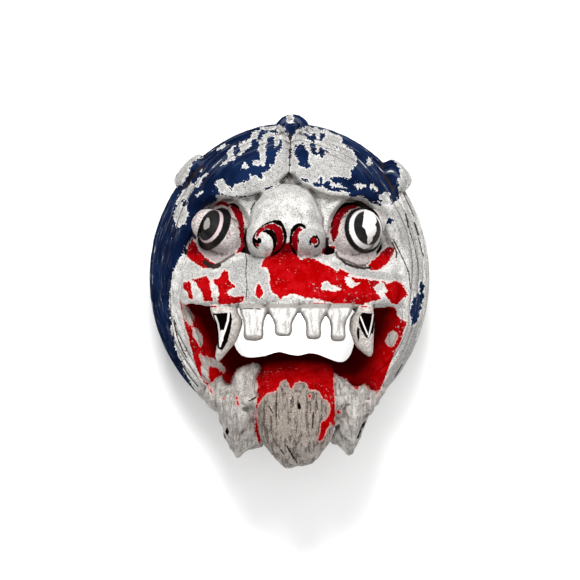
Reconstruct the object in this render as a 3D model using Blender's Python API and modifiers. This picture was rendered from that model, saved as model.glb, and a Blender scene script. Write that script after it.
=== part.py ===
"""A barong mask carved from one block of wood, lying on its back rim with the face up.

+Z comes out of the face, +Y runs from the chin to the crown and +X is the viewer's right.
"""
import math

import bmesh
import bpy
import numpy as np
from mathutils import Matrix, Vector

# Driving dimensions, in metres
HEAD_WIDTH = 0.225  # across the hair, at the widest line
HEAD_HEIGHT = 0.248  # crown to chin, without the knot above and the tongue below
FACE_DEPTH = 0.175  # back rim to the front of the upper lip
SIDE_WALL = 0.012  # wood left between the hair and the hollow
HOLLOW_DEPTH = 0.096  # back rim to the roof of the hollow, behind the forehead
MOUTH_FLOOR = 0.064  # height of the hollow's roof where the mouth opens into it

# The free carving is drawn in millimetres on a block of these proportions, across,
# up and out of the face, and follows the driving dimensions as shares of them
DRAWN_ON = (225.0, 248.0, 175.0)
ACROSS = HEAD_WIDTH / DRAWN_ON[0]
UP = HEAD_HEIGHT / DRAWN_ON[1]
OUT = FACE_DEPTH / DRAWN_ON[2]

# The head's own form, in millimetres of that carving
HEAD_CENTRE_Y = 10.0
HALF_WIDTH = DRAWN_ON[0] / 2
HALF_HEIGHT = DRAWN_ON[1] / 2
WIDEST_Z = 55.0
DOME_RISE = 72.0
DOME_POWER = 2.4
BACK_TUCK = 0.05
TRIM_BELOW = 14.0

# Fineness of the finished solid
FUSE_VOXEL = 0.002
OUTER_TRIANGLES = 8200
STRAND_PITCH = 8.0
STRAND_DEPTH = 2.3

NAVY = (0.016, 0.035, 0.095, 1.0)


def clear_scene():
    for old in list(bpy.data.objects):
        bpy.data.objects.remove(old)


def make_collection(name):
    made = bpy.data.collections.new(name)
    bpy.context.scene.collection.children.link(made)
    return made


def painted_wood():
    made = bpy.data.materials.new("painted_wood")
    made.use_nodes = True
    shader = made.node_tree.nodes["Principled BSDF"]
    shader.inputs["Base Color"].default_value = NAVY
    shader.inputs["Roughness"].default_value = 0.55
    shader.inputs["Metallic"].default_value = 0.0
    return made


def coordinates(mesh):
    found = np.empty(len(mesh.vertices) * 3, np.float32)
    mesh.vertices.foreach_get("co", found)
    return found.reshape(-1, 3).astype(float)


def normals(mesh):
    found = np.empty(len(mesh.vertices) * 3, np.float32)
    mesh.vertices.foreach_get("normal", found)
    return found.reshape(-1, 3).astype(float)


def move_to(mesh, points):
    mesh.vertices.foreach_set("co", points.astype(np.float32).ravel())
    mesh.update()


def to_size(points):
    """Carving millimetres to metres on this head."""
    return points * np.array([ACROSS, UP, OUT])


def to_carving(points):
    return points / np.array([ACROSS, UP, OUT])


def add_object(name, mesh, collection):
    made = bpy.data.objects.new(name, mesh)
    collection.objects.link(made)
    return made


def mesh_from(bm, name):
    mesh = bpy.data.meshes.new(name)
    bm.to_mesh(mesh)
    bm.free()
    return mesh


def unit_ball(name, around, rings):
    bm = bmesh.new()
    bmesh.ops.create_uvsphere(bm, u_segments=around, v_segments=rings, radius=1.0)
    return mesh_from(bm, name)


def smooth_step(value, low, high):
    t = np.clip((value - low) / (high - low), 0.0, 1.0)
    return t * t * (3.0 - 2.0 * t)


def smooth_top(first, second, blend):
    """The higher of two surfaces, with the valley between them rounded."""
    h = np.clip(0.5 + 0.5 * (second - first) / blend, 0.0, 1.0)
    return first + (second - first) * h + blend * h * (1.0 - h)


def hill(x, y, centre, radii, height):
    across = (x - centre[0]) / radii[0]
    along = (y - centre[1]) / radii[1]
    return height * np.exp(-(across**2 + along**2))


def closed_curve(points, steps=8):
    """A smooth closed line through hand-placed points."""
    pts = [np.array(p, float) for p in points]
    count = len(pts)
    line = []
    for i in range(count):
        before, start, end, after = (pts[(i + k - 1) % count] for k in range(4))
        for step in range(steps):
            t = step / steps
            line.append(
                0.5
                * (
                    2 * start
                    + (end - before) * t
                    + (2 * before - 5 * start + 4 * end - after) * t**2
                    + (3 * start - before - 3 * end + after) * t**3
                )
            )
    return np.array(line)


def distance_inside(x, y, line):
    """Distance to a closed line, positive inside it."""
    best = np.full(x.shape, 1e9)
    inside = np.zeros(x.shape, bool)
    for a, b in zip(line, np.roll(line, -1, axis=0)):
        edge = b - a
        t = np.clip(((x - a[0]) * edge[0] + (y - a[1]) * edge[1]) / max(edge @ edge, 1e-9), 0, 1)
        best = np.minimum(best, np.hypot(x - a[0] - t * edge[0], y - a[1] - t * edge[1]))
        if a[1] != b[1]:
            crosses = (a[1] > y) != (b[1] > y)
            inside ^= crosses & (x < (b[0] - a[0]) * (y - a[1]) / (b[1] - a[1]) + a[0])
    return np.where(inside, best, -best)


def reach(line, centre, angles):
    """How far a closed line lies from a centre inside it, at each angle."""
    offset = line - np.array(centre)
    around = np.arctan2(offset[:, 1], offset[:, 0])
    order = np.argsort(around)
    return np.interp(angles, around[order], np.hypot(*offset[order].T), period=2 * math.pi)


# Outlines on the face, in carving millimetres, as (x, y)
FACE_EDGE = closed_curve(
    [(0, 93), (11, 84), (30, 75), (50, 73), (66, 66), (76, 50), (85, 25), (94, 0), (94, -26)]
    + [(86, -52), (76, -72), (60, -94), (30, -110), (0, -114), (-30, -110), (-58, -94)]
    + [(-75, -72), (-86, -52), (-93, -26), (-94, 0), (-85, 25), (-76, 50), (-66, 66)]
    + [(-50, 73), (-30, 75), (-11, 84)]
)
MOUTH_EDGE = closed_curve(
    [(-80, -10), (-60, -13), (-30, -13), (0, -11), (30, -13), (60, -15), (80, -13), (90, -17)]
    + [(91, -28), (84, -52), (77, -70), (68, -80), (50, -82), (30, -84), (0, -86), (-30, -84)]
    + [(-52, -82), (-64, -74), (-69, -56), (-76, -32), (-82, -16)]
)
THROAT_EDGE = closed_curve(
    [(-46, -14), (0, -10), (48, -14), (53, -30), (51, -46), (46, -56), (38, -57.5), (24, -52)]
    + [(16, -50.5), (8, -52.5), (0, -51.5), (-9, -49.5), (-20, -53), (-34, -54), (-42, -49)]
    + [(-47, -32)]
)


def head_dome(x, y):
    away = np.hypot(x / HALF_WIDTH, (y - HEAD_CENTRE_Y) / HALF_HEIGHT)
    return DOME_RISE * np.clip(1 - away**DOME_POWER, 0, 1) ** (1 / DOME_POWER)


def plan_arc(x, half_span):
    """1 in the middle of the muzzle, falling to 0 where it turns to the cheek."""
    return np.clip(1 - (x / half_span) ** 2, 0, 1) ** 0.8


def face_relief(x, y):
    """Height of the carved face above the back rim."""
    side = np.abs(x)
    dome = WIDEST_Z + head_dome(x, y)
    on_face = distance_inside(x, y, FACE_EDGE)
    brow_step = smooth_step(y, 10, 66)
    z = dome + hill(side, y, (38, 98), (34, 22), 13.0)
    z -= smooth_step(on_face, -1.0, 2.2) * (1.5 + 9.0 * brow_step)
    z -= hill(x, y, (0, 112), (3.2, 20), 9.0)
    # Sockets, with an outer corner, and the lids round them
    eye_away = np.hypot((side - 56) / 23.0, (y - 44) / 27.0)
    z -= 13.0 * (1 - smooth_step(eye_away, 0.85, 1.35))
    z -= hill(side, y, (82, 31), (9, 7), 7.0)
    lid_share = smooth_step(y, 20, 50) * (1 - smooth_step(side, 54, 72))
    z += 5.5 * np.exp(-(((eye_away - 1.17) / 0.11) ** 2)) * lid_share
    # Muzzle: a band from corner to corner, sloping out to the lip's edge
    arc = plan_arc(x, 93)
    ridge_y = 27 - 20 * (side / 90) ** 2
    lip_z = 110 + 65 * arc
    ridge_z = 104 + 44 * arc
    down = np.clip((ridge_y - y) / (ridge_y + 12), 0, 1)
    muzzle = ridge_z + (lip_z - ridge_z) * down**0.8 + 3.0 * np.sin(math.pi * down)
    muzzle -= 1.15 * np.clip(y - ridge_y, 0, None)
    muzzle -= 0.09 * np.clip(-3 - y, 0, None) ** 2
    muzzle -= 4.0 * np.clip(side - 84, 0, None)
    z = smooth_top(z, muzzle, 5.0)
    # Jaw: a second band below the mouth
    jaw_arc = plan_arc(x - 4, 84)
    jaw = 98 + 46 * jaw_arc
    jaw -= 3.0 * np.clip(y + 80, 0, None) + 0.9 * np.clip(-92 - y, 0, None)
    jaw -= 3.0 * np.clip(np.abs(x - 4) - 62, 0, None)
    z = smooth_top(z, jaw, 5.0)
    # Rolled edge down both sides of the mouth
    rim = np.abs(distance_inside(x, y, MOUTH_EDGE))
    z += 4.5 * np.exp(-((rim / 8.0) ** 2)) * (1 - smooth_step(y, -30, -8))
    return z


def carve_head(collection):
    """Dome of hair and face in one: a ball whose front half takes the face's relief."""
    mesh = unit_ball("head", 200, 150)
    ball = coordinates(mesh)
    flat = np.hypot(ball[:, 0], ball[:, 1])
    x = ball[:, 0] * HALF_WIDTH
    y = ball[:, 1] * HALF_HEIGHT + HEAD_CENTRE_Y
    front = ball[:, 2] > 0.001
    tuck = np.where(front, 1.0, 1.0 - BACK_TUCK * np.minimum(-ball[:, 2], 1))
    depth = -TRIM_BELOW + (WIDEST_Z + TRIM_BELOW) * (1 - smooth_step(-ball[:, 2], 0.0, 0.6))
    edge = np.maximum(flat, 1e-6)
    spread = np.where(ball[:, 2] < -0.55, 1.0, np.where(front, 1.0, 1.0 / edge))
    points = np.empty_like(ball)
    points[:, 0] = x * tuck * spread
    points[:, 1] = (y - HEAD_CENTRE_Y) * tuck * spread + HEAD_CENTRE_Y
    points[:, 2] = np.where(front, face_relief(x, y), depth)
    move_to(mesh, to_size(points))
    return add_object("head", mesh, collection)


def carve_leaf(name, collection, outline, centre, front, back, bend, power=2.2):
    """A swollen form with a given outline. bend(x, y) lifts its middle surface."""
    mesh = unit_ball(name, 64, 40)
    ball = coordinates(mesh)
    flat = np.hypot(ball[:, 0], ball[:, 1])
    swell = np.clip(1 - np.clip(flat, 0, 1) ** power, 0, 1) ** (1 / power)
    far = reach(closed_curve(outline), centre, np.arctan2(ball[:, 1], ball[:, 0]))
    points = np.empty_like(ball)
    points[:, 0] = centre[0] + ball[:, 0] * far
    points[:, 1] = centre[1] + ball[:, 1] * far
    thick = np.where(ball[:, 2] > 0, front, -back)
    points[:, 2] = bend(points[:, 0], points[:, 1]) + swell * thick
    move_to(mesh, to_size(points))
    return add_object(name, mesh, collection)


def carve_egg(name, collection, centre, radii, axis=(0, 0, 1), squareness=2.0):
    """An egg, or with more squareness a rounded barrel, along an axis."""
    mesh = unit_ball(name, 48, 32)
    ball = coordinates(mesh)
    points = np.sign(ball) * np.abs(ball) ** (2.0 / squareness)
    turn = np.array(Vector(axis).to_track_quat("Z", "Y").to_matrix())
    points = (points * np.array(radii)) @ turn.T + np.array(centre)
    move_to(mesh, to_size(points))
    return add_object(name, mesh, collection)


# Nose: a broad bulb with a bridge above it and two rolled wings, as centre and radii
NOSE_PARTS = [
    ((-3, 53, 128), (29, 27, 42)),
    ((-2, 64, 118), (24, 20, 30)),
    ((-19.5, 40.5, 138), (15.5, 15.5, 30)),
    ((14.0, 41, 138), (14.5, 15.5, 30)),
]

EYE_CENTRE = (54.2, 44.0, 112)
EYE_RADII = (16.0, 23.5, 33.0)
EYE_GAZE = (0.3, 0.2, 0.92)

# Swellings of the lower lip either side of the tongue, as centre and radii
LOWER_LIP = [
    ((-37, -79, 120), (13, 18, 26)),
    ((-53, -85, 108), (12, 14, 24)),
    ((47, -84, 118), (14, 16, 24)),
    ((60, -86, 104), (11, 9, 22)),
]

# Upper teeth, left to right: middle x, half width at the root and foot, foot y
TEETH = [
    (-28, 11.0, 7.6, -39.5),
    (-4.8, 12.0, 6.8, -36.0),
    (18.8, 11.0, 5.8, -38.5),
    (38, 11.0, 5.8, -40.0),
]
TOOTH_ROOT_Y = -10.0
TOOTH_THICK = 9.0
TOOTH_SET_BACK = 11.0

LEFT_FANG = [
    (-61, -12), (-61, -19), (-58, -26), (-56.2, -37), (-57.4, -46), (-58.4, -51), (-57.2, -56),
    (-54, -55), (-46, -45.6), (-41.5, -39.5), (-37.5, -29), (-37, -24), (-40, -18), (-44, -10),
]
RIGHT_FANG = [
    (55, -10), (64.5, -10), (66.6, -22), (66.4, -35), (66, -43), (65.6, -49.5), (63.4, -52.5),
    (60, -51.2), (55, -47), (51.5, -43), (49, -37), (46.9, -29.5), (48, -22), (51.5, -17),
]

TONGUE = [
    (-23, -60), (-26, -84), (-24.5, -103), (-23, -117), (-18, -124.5), (-11, -133.5), (-3, -140.5),
    (5, -139.8), (15, -138), (21, -134), (27, -126.5), (32.5, -118), (36, -104), (37, -84), (36, -66),
    (29, -56), (6, -53.5), (-19, -55),
]

LEFT_POINT = [
    (-60, -80), (-57, -98), (-52, -115), (-47, -126), (-42, -132.5), (-37, -130), (-29, -126.5),
    (-21, -123), (-22.5, -108), (-25, -88), (-40, -76),
]
RIGHT_POINT = [
    (36, -84), (37, -106), (32, -120), (40, -125), (46, -130), (51, -128), (54, -122), (59, -110),
    (62, -101), (70, -88), (60, -78), (48, -76),
]


def level_bend(level):
    def bend(x, y):
        return np.full(x.shape, level)

    return bend


def tongue_bend(x, y):
    """The tongue climbs out of the throat, rolls over the lip and hangs."""
    climb = smooth_step(-y, 44, 88)
    hang = np.clip((-y - 100) / 41, 0, 1)
    return 84 + 58 * climb - 16 * hang**1.6 - 0.008 * (x - 6) ** 2


def point_bend(middle):
    """A pointed tuft with a sharp ridge down its front."""

    def bend(x, y):
        hang = np.clip((-y - 84) / 48, 0, 1)
        return 122 - 12 * hang - 0.35 * np.abs(x - middle)

    return bend


def lip_level(x):
    """Height of the upper lip's edge at x."""
    return float(110 + 65 * plan_arc(np.array(x), 93))


def carve_teeth(collection):
    for middle, root_half, foot_half, foot_y in TEETH:
        outline = [
            (middle - root_half, TOOTH_ROOT_Y),
            (middle - root_half, -16),
            (middle - foot_half * 1.05, -26),
            (middle - foot_half, foot_y + 3),
            (middle - foot_half * 0.6, foot_y),
            (middle + foot_half * 0.6, foot_y),
            (middle + foot_half, foot_y + 3),
            (middle + foot_half * 1.05, -26),
            (middle + root_half, -16),
            (middle + root_half, TOOTH_ROOT_Y),
            (middle, TOOTH_ROOT_Y + 4),
        ]
        level = lip_level(middle) - TOOTH_SET_BACK
        centre = (middle, (foot_y + TOOTH_ROOT_Y) / 2)
        carve_leaf(
            "tooth", collection, outline, centre, TOOTH_THICK, TOOTH_THICK, level_bend(level), power=3.5
        )


def carve_face(collection):
    """The head, and everything that swells out of it above the mouth."""
    carve_head(collection)
    for centre, radii in NOSE_PARTS:
        carve_egg("nose", collection, centre, radii)
    for side in (-1, 1):
        centre = (side * EYE_CENTRE[0], EYE_CENTRE[1], EYE_CENTRE[2])
        gaze = (side * EYE_GAZE[0], EYE_GAZE[1], EYE_GAZE[2])
        carve_egg("eyeball", collection, centre, EYE_RADII, gaze, squareness=2.5)
    carve_egg("left_temple", collection, (-80.5, 95.5, 76), (16, 15, 5.5), (-0.755, 0.656, 0.15), 2.6)
    carve_egg("right_temple", collection, (85.5, 91.5, 76), (14, 15, 9), (0.76, 0.65, 0.15), 2.6)
    carve_egg("crown_knot", collection, (2.4, 130, 80), (14, 10.5, 15), (0, 0.35, 0.94), 1.7)


def carve_mouth_forms(collection):
    """The forms left standing in the open mouth and hanging from the chin."""
    carve_teeth(collection)
    carve_leaf("fang", collection, LEFT_FANG, (-50, -30), 12, 12, level_bend(lip_level(-50) - 12))
    carve_leaf("fang", collection, RIGHT_FANG, (58, -30), 12, 12, level_bend(lip_level(58) - 12))
    carve_leaf("tongue", collection, TONGUE, (6, -92), 17, 22, tongue_bend)
    carve_leaf("left_point", collection, LEFT_POINT, (-41, -102), 24, 28, point_bend(-42), power=1.5)
    carve_leaf("right_point", collection, RIGHT_POINT, (51, -102), 24, 28, point_bend(50), power=1.5)
    for centre, radii in LOWER_LIP:
        carve_egg("lower_lip", collection, centre, radii)


def fused(collection, name):
    """Every overlapping form joined into one closed skin."""
    bm = bmesh.new()
    for form in list(collection.objects):
        bm.from_mesh(form.data)
        bpy.data.objects.remove(form)
    made = add_object(name, mesh_from(bm, name), collection)
    fuse = made.modifiers.new("fuse", "REMESH")
    fuse.mode = "VOXEL"
    fuse.voxel_size = FUSE_VOXEL
    return settle_modifiers(made)


def settle_modifiers(made):
    """The object keeps what its modifiers make of it."""
    seen = made.evaluated_get(bpy.context.evaluated_depsgraph_get())
    mesh = bpy.data.meshes.new_from_object(seen)
    made.modifiers.clear()
    made.data = mesh
    return made


def soften(made, times, factor=0.5):
    modifier = made.modifiers.new("soften", "SMOOTH")
    modifier.factor = factor
    modifier.iterations = times
    return settle_modifiers(made)


def mouth_cutter(collection):
    """Loft from the mouth's edge, in front, to the throat's edge behind."""
    levels = [(230, 0.0), (116, 0.0), (104, 0.12), (94, 0.45), (84, 0.82), (76, 1.0), (40, 1.0)]
    steps = np.linspace(0, 2 * math.pi, 96, endpoint=False)
    middle = (4, -34)
    outer = reach(MOUTH_EDGE, middle, (steps + math.pi) % (2 * math.pi) - math.pi)
    inner = reach(THROAT_EDGE, middle, (steps + math.pi) % (2 * math.pi) - math.pi)
    bm = bmesh.new()
    rings = []
    for z, share in levels:
        far = outer + (inner - outer) * share
        points = np.stack([middle[0] + far * np.cos(steps), middle[1] + far * np.sin(steps), np.full(96, z)], 1)
        verts = [bm.verts.new(p) for p in to_size(points)]
        rings.append([bm.edges.new((a, b)) for a, b in zip(verts, verts[1:] + verts[:1])])
    for upper, lower in zip(rings, rings[1:]):
        bmesh.ops.bridge_loops(bm, edges=upper + lower)
    bmesh.ops.holes_fill(bm, edges=bm.edges, sides=0)
    bmesh.ops.recalc_face_normals(bm, faces=bm.faces)
    return as_cutter(mesh_from(bm, "mouth_cut"), collection)


def hollow_cutter(collection):
    """The room for the wearer's face, carved in from the back."""
    mesh = unit_ball("hollow_cut", 56, 24)
    ball = coordinates(mesh)
    half_x = HEAD_WIDTH / 2 - SIDE_WALL
    half_y = HEAD_HEIGHT / 2 - SIDE_WALL
    points = ball.copy()
    flat = np.hypot(ball[:, 0], ball[:, 1])
    below = ball[:, 2] < 0
    spread = np.where(below & (ball[:, 2] > -0.55), 1 / np.maximum(flat, 1e-6), 1.0)
    tuck = np.where(below, 1 - BACK_TUCK * np.minimum(-ball[:, 2] * 1.6, 1), 1.0)
    points[:, 0] = ball[:, 0] * half_x * spread * tuck
    points[:, 1] = ball[:, 1] * half_y * spread * tuck + HEAD_CENTRE_Y * UP
    low = WIDEST_Z * OUT * 0.6
    roof = low + (HOLLOW_DEPTH - low) * np.clip(1 - flat**2.6, 0, 1) ** (1 / 2.6)
    carving = to_carving(points)
    around_mouth = np.hypot((carving[:, 0] - 4) / 92, (carving[:, 1] + 42) / 52)
    roof = np.minimum(roof, MOUTH_FLOOR + 0.05 * np.clip(around_mouth - 0.85, 0, None))
    points[:, 2] = np.where(below, low * (1 - smooth_step(-ball[:, 2], 0, 0.55)) - 0.03, roof)
    move_to(mesh, points)
    return as_cutter(mesh, collection)


def back_cutter(collection):
    """Everything behind the back rim's plane."""
    bm = bmesh.new()
    size = 3 * HEAD_HEIGHT
    bmesh.ops.create_cube(bm, size=size, matrix=Matrix.Translation((0, 0, -size / 2)))
    return as_cutter(mesh_from(bm, "back_cut"), collection)


def as_cutter(mesh, collection):
    made = add_object(mesh.name, mesh, collection)
    made.hide_render = True
    made.display_type = "WIRE"
    return made


def cut(made, cutter):
    modifier = made.modifiers.new(cutter.name, "BOOLEAN")
    modifier.operation = "DIFFERENCE"
    modifier.object = cutter
    return settle_modifiers(made)


def comb_hair(made):
    """Strands run round the sides of the head, side by side, and gather at the knot."""
    mesh = made.data
    points = to_carving(coordinates(mesh))
    outward = normals(mesh)
    x, y, z = points.T
    away = np.hypot(x / HALF_WIDTH, (y - HEAD_CENTRE_Y) / HALF_HEIGHT)
    climb = np.arctan2(np.clip(z - WIDEST_Z, 0, None) / DOME_RISE, np.maximum(away, 1e-6))
    along = np.minimum(z, WIDEST_Z) + 86.0 * climb
    along = along + 9.0 * np.exp(-((x / 20.0) ** 2)) * (y > 0) + 1.2 * np.sin(x * 0.05 + y * 0.07)
    ridge = np.abs(np.sin(math.pi * along / STRAND_PITCH)) ** 0.7
    on_hair = smooth_step(away, 0.8, 0.88) * (1 - smooth_step(away, 1.03, 1.06)) * smooth_step(y, -88, -60)
    outward_side = smooth_step((x * outward[:, 0] + (y - HEAD_CENTRE_Y) * outward[:, 1]) / 110.0, 0.05, 0.3)
    deep = STRAND_DEPTH * (1 - ridge) * on_hair * outward_side
    move_to(mesh, coordinates(mesh) - outward * (deep * 0.001)[:, None])
    return made


def thin_out(made, triangles):
    made.data.update()
    now = sum(len(p.vertices) - 2 for p in made.data.polygons)
    modifier = made.modifiers.new("thin_out", "DECIMATE")
    modifier.ratio = min(1.0, triangles / now)
    return settle_modifiers(made)


def centre_on_back(made):
    """The origin is the middle of the back rim's plane, under the middle of the mask."""
    points = coordinates(made.data)
    middle = (points.min(0) + points.max(0)) / 2
    move_to(made.data, points - np.array([middle[0], middle[1], 0.0]))


def build_mask():
    clear_scene()
    mask_parts = make_collection("barong_mask")
    cutters = make_collection("cutters")
    carve_face(mask_parts)
    mask = fused(mask_parts, "mask")
    mask = cut(mask, mouth_cutter(cutters))
    carve_mouth_forms(mask_parts)
    mask = fused(mask_parts, "mask")
    mask = soften(mask, 2)
    mask = comb_hair(mask)
    mask = thin_out(mask, OUTER_TRIANGLES)
    mask = cut(mask, hollow_cutter(cutters))
    mask = cut(mask, back_cutter(cutters))
    centre_on_back(mask)
    mask.data.materials.clear()
    mask.data.materials.append(painted_wood())
    mask.data.shade_smooth()
    mask.data.set_sharp_from_angle(angle=math.radians(50))


build_mask()
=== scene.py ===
import math

import bmesh
import bpy
import numpy as np
from mathutils import Matrix, Vector, noise


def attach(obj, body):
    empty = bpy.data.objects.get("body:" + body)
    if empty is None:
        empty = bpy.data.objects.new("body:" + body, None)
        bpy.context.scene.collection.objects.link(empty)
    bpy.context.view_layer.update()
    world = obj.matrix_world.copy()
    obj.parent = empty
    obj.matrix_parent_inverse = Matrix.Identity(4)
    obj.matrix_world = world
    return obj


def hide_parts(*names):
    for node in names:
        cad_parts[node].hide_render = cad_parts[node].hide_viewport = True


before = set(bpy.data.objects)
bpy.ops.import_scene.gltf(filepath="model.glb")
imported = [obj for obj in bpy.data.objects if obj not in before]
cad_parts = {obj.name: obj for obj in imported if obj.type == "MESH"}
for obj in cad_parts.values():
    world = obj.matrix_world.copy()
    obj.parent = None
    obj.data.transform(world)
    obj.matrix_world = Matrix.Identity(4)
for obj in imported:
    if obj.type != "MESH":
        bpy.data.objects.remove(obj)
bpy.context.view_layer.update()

# The round head
# One block of light, even-grained wood, roughed out to a dome: combed hair round the
# outside, two brow lobes parted over the nose, and inside them the face, set back a step.
# Every form is drawn in millimetres, x across, y up the face and z out of it.
HALF_WIDTH, HALF_HEIGHT, MIDDLE_Y = 112.5, 124.0, 10.0
MOUTH_X = 4
WIDEST_Z, DOME_RISE, DOME_POWER = 55.0, 72.0, 2.4


def read(mesh, what="co"):
    found = np.empty(len(mesh.vertices) * 3, np.float32)
    mesh.vertices.foreach_get(what, found)
    return found.reshape(-1, 3).astype(float)


def write(mesh, points):
    mesh.vertices.foreach_set("co", points.astype(np.float32).ravel())
    mesh.update()


def smooth_step(value, low, high):
    t = np.clip((value - low) / (high - low), 0.0, 1.0)
    return t * t * (3.0 - 2.0 * t)


def smooth_top(first, second, blend):
    h = np.clip(0.5 + 0.5 * (second - first) / blend, 0.0, 1.0)
    return first + (second - first) * h + blend * h * (1.0 - h)


def hill(x, y, centre, radii, height):
    return height * np.exp(-(((x - centre[0]) / radii[0]) ** 2 + ((y - centre[1]) / radii[1]) ** 2))


def curved(points, steps=4):
    """A smooth closed line through a carver's marks."""
    marks = [np.array(p, float) for p in points]
    line = []
    for i in range(len(marks)):
        a, b, c, d = (marks[(i + k - 1) % len(marks)] for k in range(4))
        for t in np.arange(steps) / steps:
            bend, twist = 2 * a - 5 * b + 4 * c - d, 3 * b - a - 3 * c + d
            line.append(0.5 * (2 * b + (c - a) * t + bend * t**2 + twist * t**3))
    return np.array(line)


FAR = 12.0


def inside(x, y, line, far=FAR):
    """How deep inside a closed line each point lies, in millimetres, and below 0 outside it."""
    low, high = line.min(0) - far, line.max(0) + far
    near = (x > low[0]) & (x < high[0]) & (y > low[1]) & (y < high[1])
    px, py = x[near], y[near]
    best = np.full(px.shape, far)
    within = np.zeros(px.shape, bool)
    for a, b in zip(line, np.roll(line, -1, axis=0)):
        run = b - a
        t = np.clip(((px - a[0]) * run[0] + (py - a[1]) * run[1]) / max(run @ run, 1e-9), 0, 1)
        best = np.minimum(best, np.hypot(px - a[0] - t * run[0], py - a[1] - t * run[1]))
        if a[1] != b[1]:
            crossed = (a[1] > py) != (b[1] > py)
            within ^= crossed & (px < (b[0] - a[0]) * (py - a[1]) / (b[1] - a[1]) + a[0])
    found = np.full(x.shape, -far)
    found[near] = np.where(within, best, -best)
    return found


def finished(bm, name):
    mesh = bpy.data.meshes.new(name)
    bm.to_mesh(mesh)
    bm.free()
    return mesh


def ball(name, around, rings):
    bm = bmesh.new()
    bmesh.ops.create_uvsphere(bm, u_segments=around, v_segments=rings, radius=1.0)
    return finished(bm, name)


FACE_EDGE = curved(
    [(0, 93), (11, 84), (30, 75), (50, 73), (66, 66), (76, 50), (85, 25), (94, 0), (94, -26)]
    + [(86, -52), (76, -72), (60, -94), (30, -110), (0, -114), (-30, -110), (-58, -94)]
    + [(-75, -72), (-86, -52), (-93, -26), (-94, 0), (-85, 25), (-76, 50), (-66, 66)]
    + [(-50, 73), (-30, 75), (-11, 84)]
)
MOUTH_EDGE = curved(
    [(-80, -10), (-60, -13), (-30, -13), (0, -11), (30, -13), (60, -15), (80, -13), (90, -17)]
    + [(91, -28), (84, -52), (77, -70), (68, -80), (50, -82), (30, -84), (0, -86), (-30, -84)]
    + [(-52, -82), (-64, -74), (-69, -56), (-76, -32), (-82, -16)]
)


def from_middle(x, y, wall=0.0):
    """How far out a point lies: 1 on the block's edge, or on the hollow's inside the wall."""
    return np.hypot(x / (HALF_WIDTH - wall), (y - MIDDLE_Y) / (HALF_HEIGHT - wall))


def muzzle_arc(x, half_span):
    """1 in the middle of the muzzle, falling to 0 where it turns to the cheek."""
    return np.clip(1 - (x / half_span) ** 2, 0, 1) ** 0.8


def head_relief(x, y):
    side = np.abs(x)
    away = from_middle(x, y)
    z = WIDEST_Z + DOME_RISE * np.clip(1 - away**DOME_POWER, 0, 1) ** (1 / DOME_POWER)
    on_face = inside(x, y, FACE_EDGE, far=40.0)
    z += hill(side, y, (38, 98), (34, 22), 13.0)
    z -= smooth_step(on_face, -1.0, 2.2) * (1.5 + 9.0 * smooth_step(y, 10, 66))
    z -= 9.0 * np.exp(-side / 3.0 - ((y - 112) / 22) ** 2)
    eye_away = np.hypot((side - 56) / 23.0, (y - 44) / 27.0)
    z -= 13.0 * (1 - smooth_step(eye_away, 0.85, 1.35))
    z -= hill(side, y, (82, 31), (9, 7), 7.0)
    lids = smooth_step(y, 20, 50) * (1 - smooth_step(side, 54, 72))
    z += 5.5 * np.exp(-(((eye_away - 1.17) / 0.11) ** 2)) * lids
    arc = muzzle_arc(x, 93)
    ridge_y = 27 - 20 * (side / 90) ** 2
    down = np.clip((ridge_y - y) / (ridge_y + 12), 0, 1)
    muzzle = 104 + 44 * arc + (6 + 21 * arc) * down**0.8 + 3.0 * np.sin(math.pi * down)
    muzzle -= 1.15 * np.clip(y - ridge_y, 0, None) + 0.09 * np.clip(-3 - y, 0, None) ** 2
    muzzle -= 4.0 * np.clip(side - 84, 0, None)
    z = smooth_top(z, muzzle, 5.0)
    jaw = 98 + 46 * muzzle_arc(x - MOUTH_X, 84)
    jaw -= 3.0 * np.clip(y + 80, 0, None) + 0.9 * np.clip(-92 - y, 0, None)
    jaw -= 3.0 * np.clip(np.abs(x - MOUTH_X) - 62, 0, None)
    z = smooth_top(z, jaw, 5.0)
    rim = np.abs(inside(x, y, MOUTH_EDGE, far=40.0))
    return z + 4.5 * np.exp(-((rim / 8.0) ** 2)) * (1 - smooth_step(y, -30, -8))


head_mesh = ball("head", around=360, rings=260)
unit = read(head_mesh)
flat = np.hypot(unit[:, 0], unit[:, 1])
front = unit[:, 2] > 0.001
tuck = np.where(front, 1.0, 1.0 - 0.05 * np.minimum(-unit[:, 2], 1))
spread = np.where((unit[:, 2] < -0.55) | front, 1.0, 1.0 / np.maximum(flat, 1e-6)) * tuck
head_x = unit[:, 0] * HALF_WIDTH
head_y = unit[:, 1] * HALF_HEIGHT
back_z = -14 + (WIDEST_Z + 14) * (1 - smooth_step(-unit[:, 2], 0.0, 0.6))
relief_z = np.where(front, head_relief(head_x, head_y + MIDDLE_Y), back_z)
write(head_mesh, np.stack([head_x * spread, head_y * spread + MIDDLE_Y, relief_z], 1))
forms = [head_mesh]

# Snout, eyes, temples and the knot of hair
# Rounded lumps left standing when the ground round them is cut away: a broad snout with
# two rolled wings, barrel-shaped eyes that look outwards, a bump at each temple and the
# knot on the crown.
LEFT_EYEBALL = ((-53.4, 44, 112), (14.5, 23, 33), (-0.3, 0.2, 0.92))
RIGHT_EYEBALL = ((50.6, 44, 112), (15.2, 24, 33), (0.3, 0.2, 0.92))
BARREL = 2.5


def egg(centre, radii, axis=(0, 0, 1), squareness=2.0):
    mesh = ball("egg", around=80, rings=56)
    unit = read(mesh)
    points = np.sign(unit) * np.abs(unit) ** (2.0 / squareness) * np.array(radii)
    turn = np.array(Vector(axis).to_track_quat("Z", "Y").to_matrix())
    write(mesh, points @ turn.T + np.array(centre))
    return mesh


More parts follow.
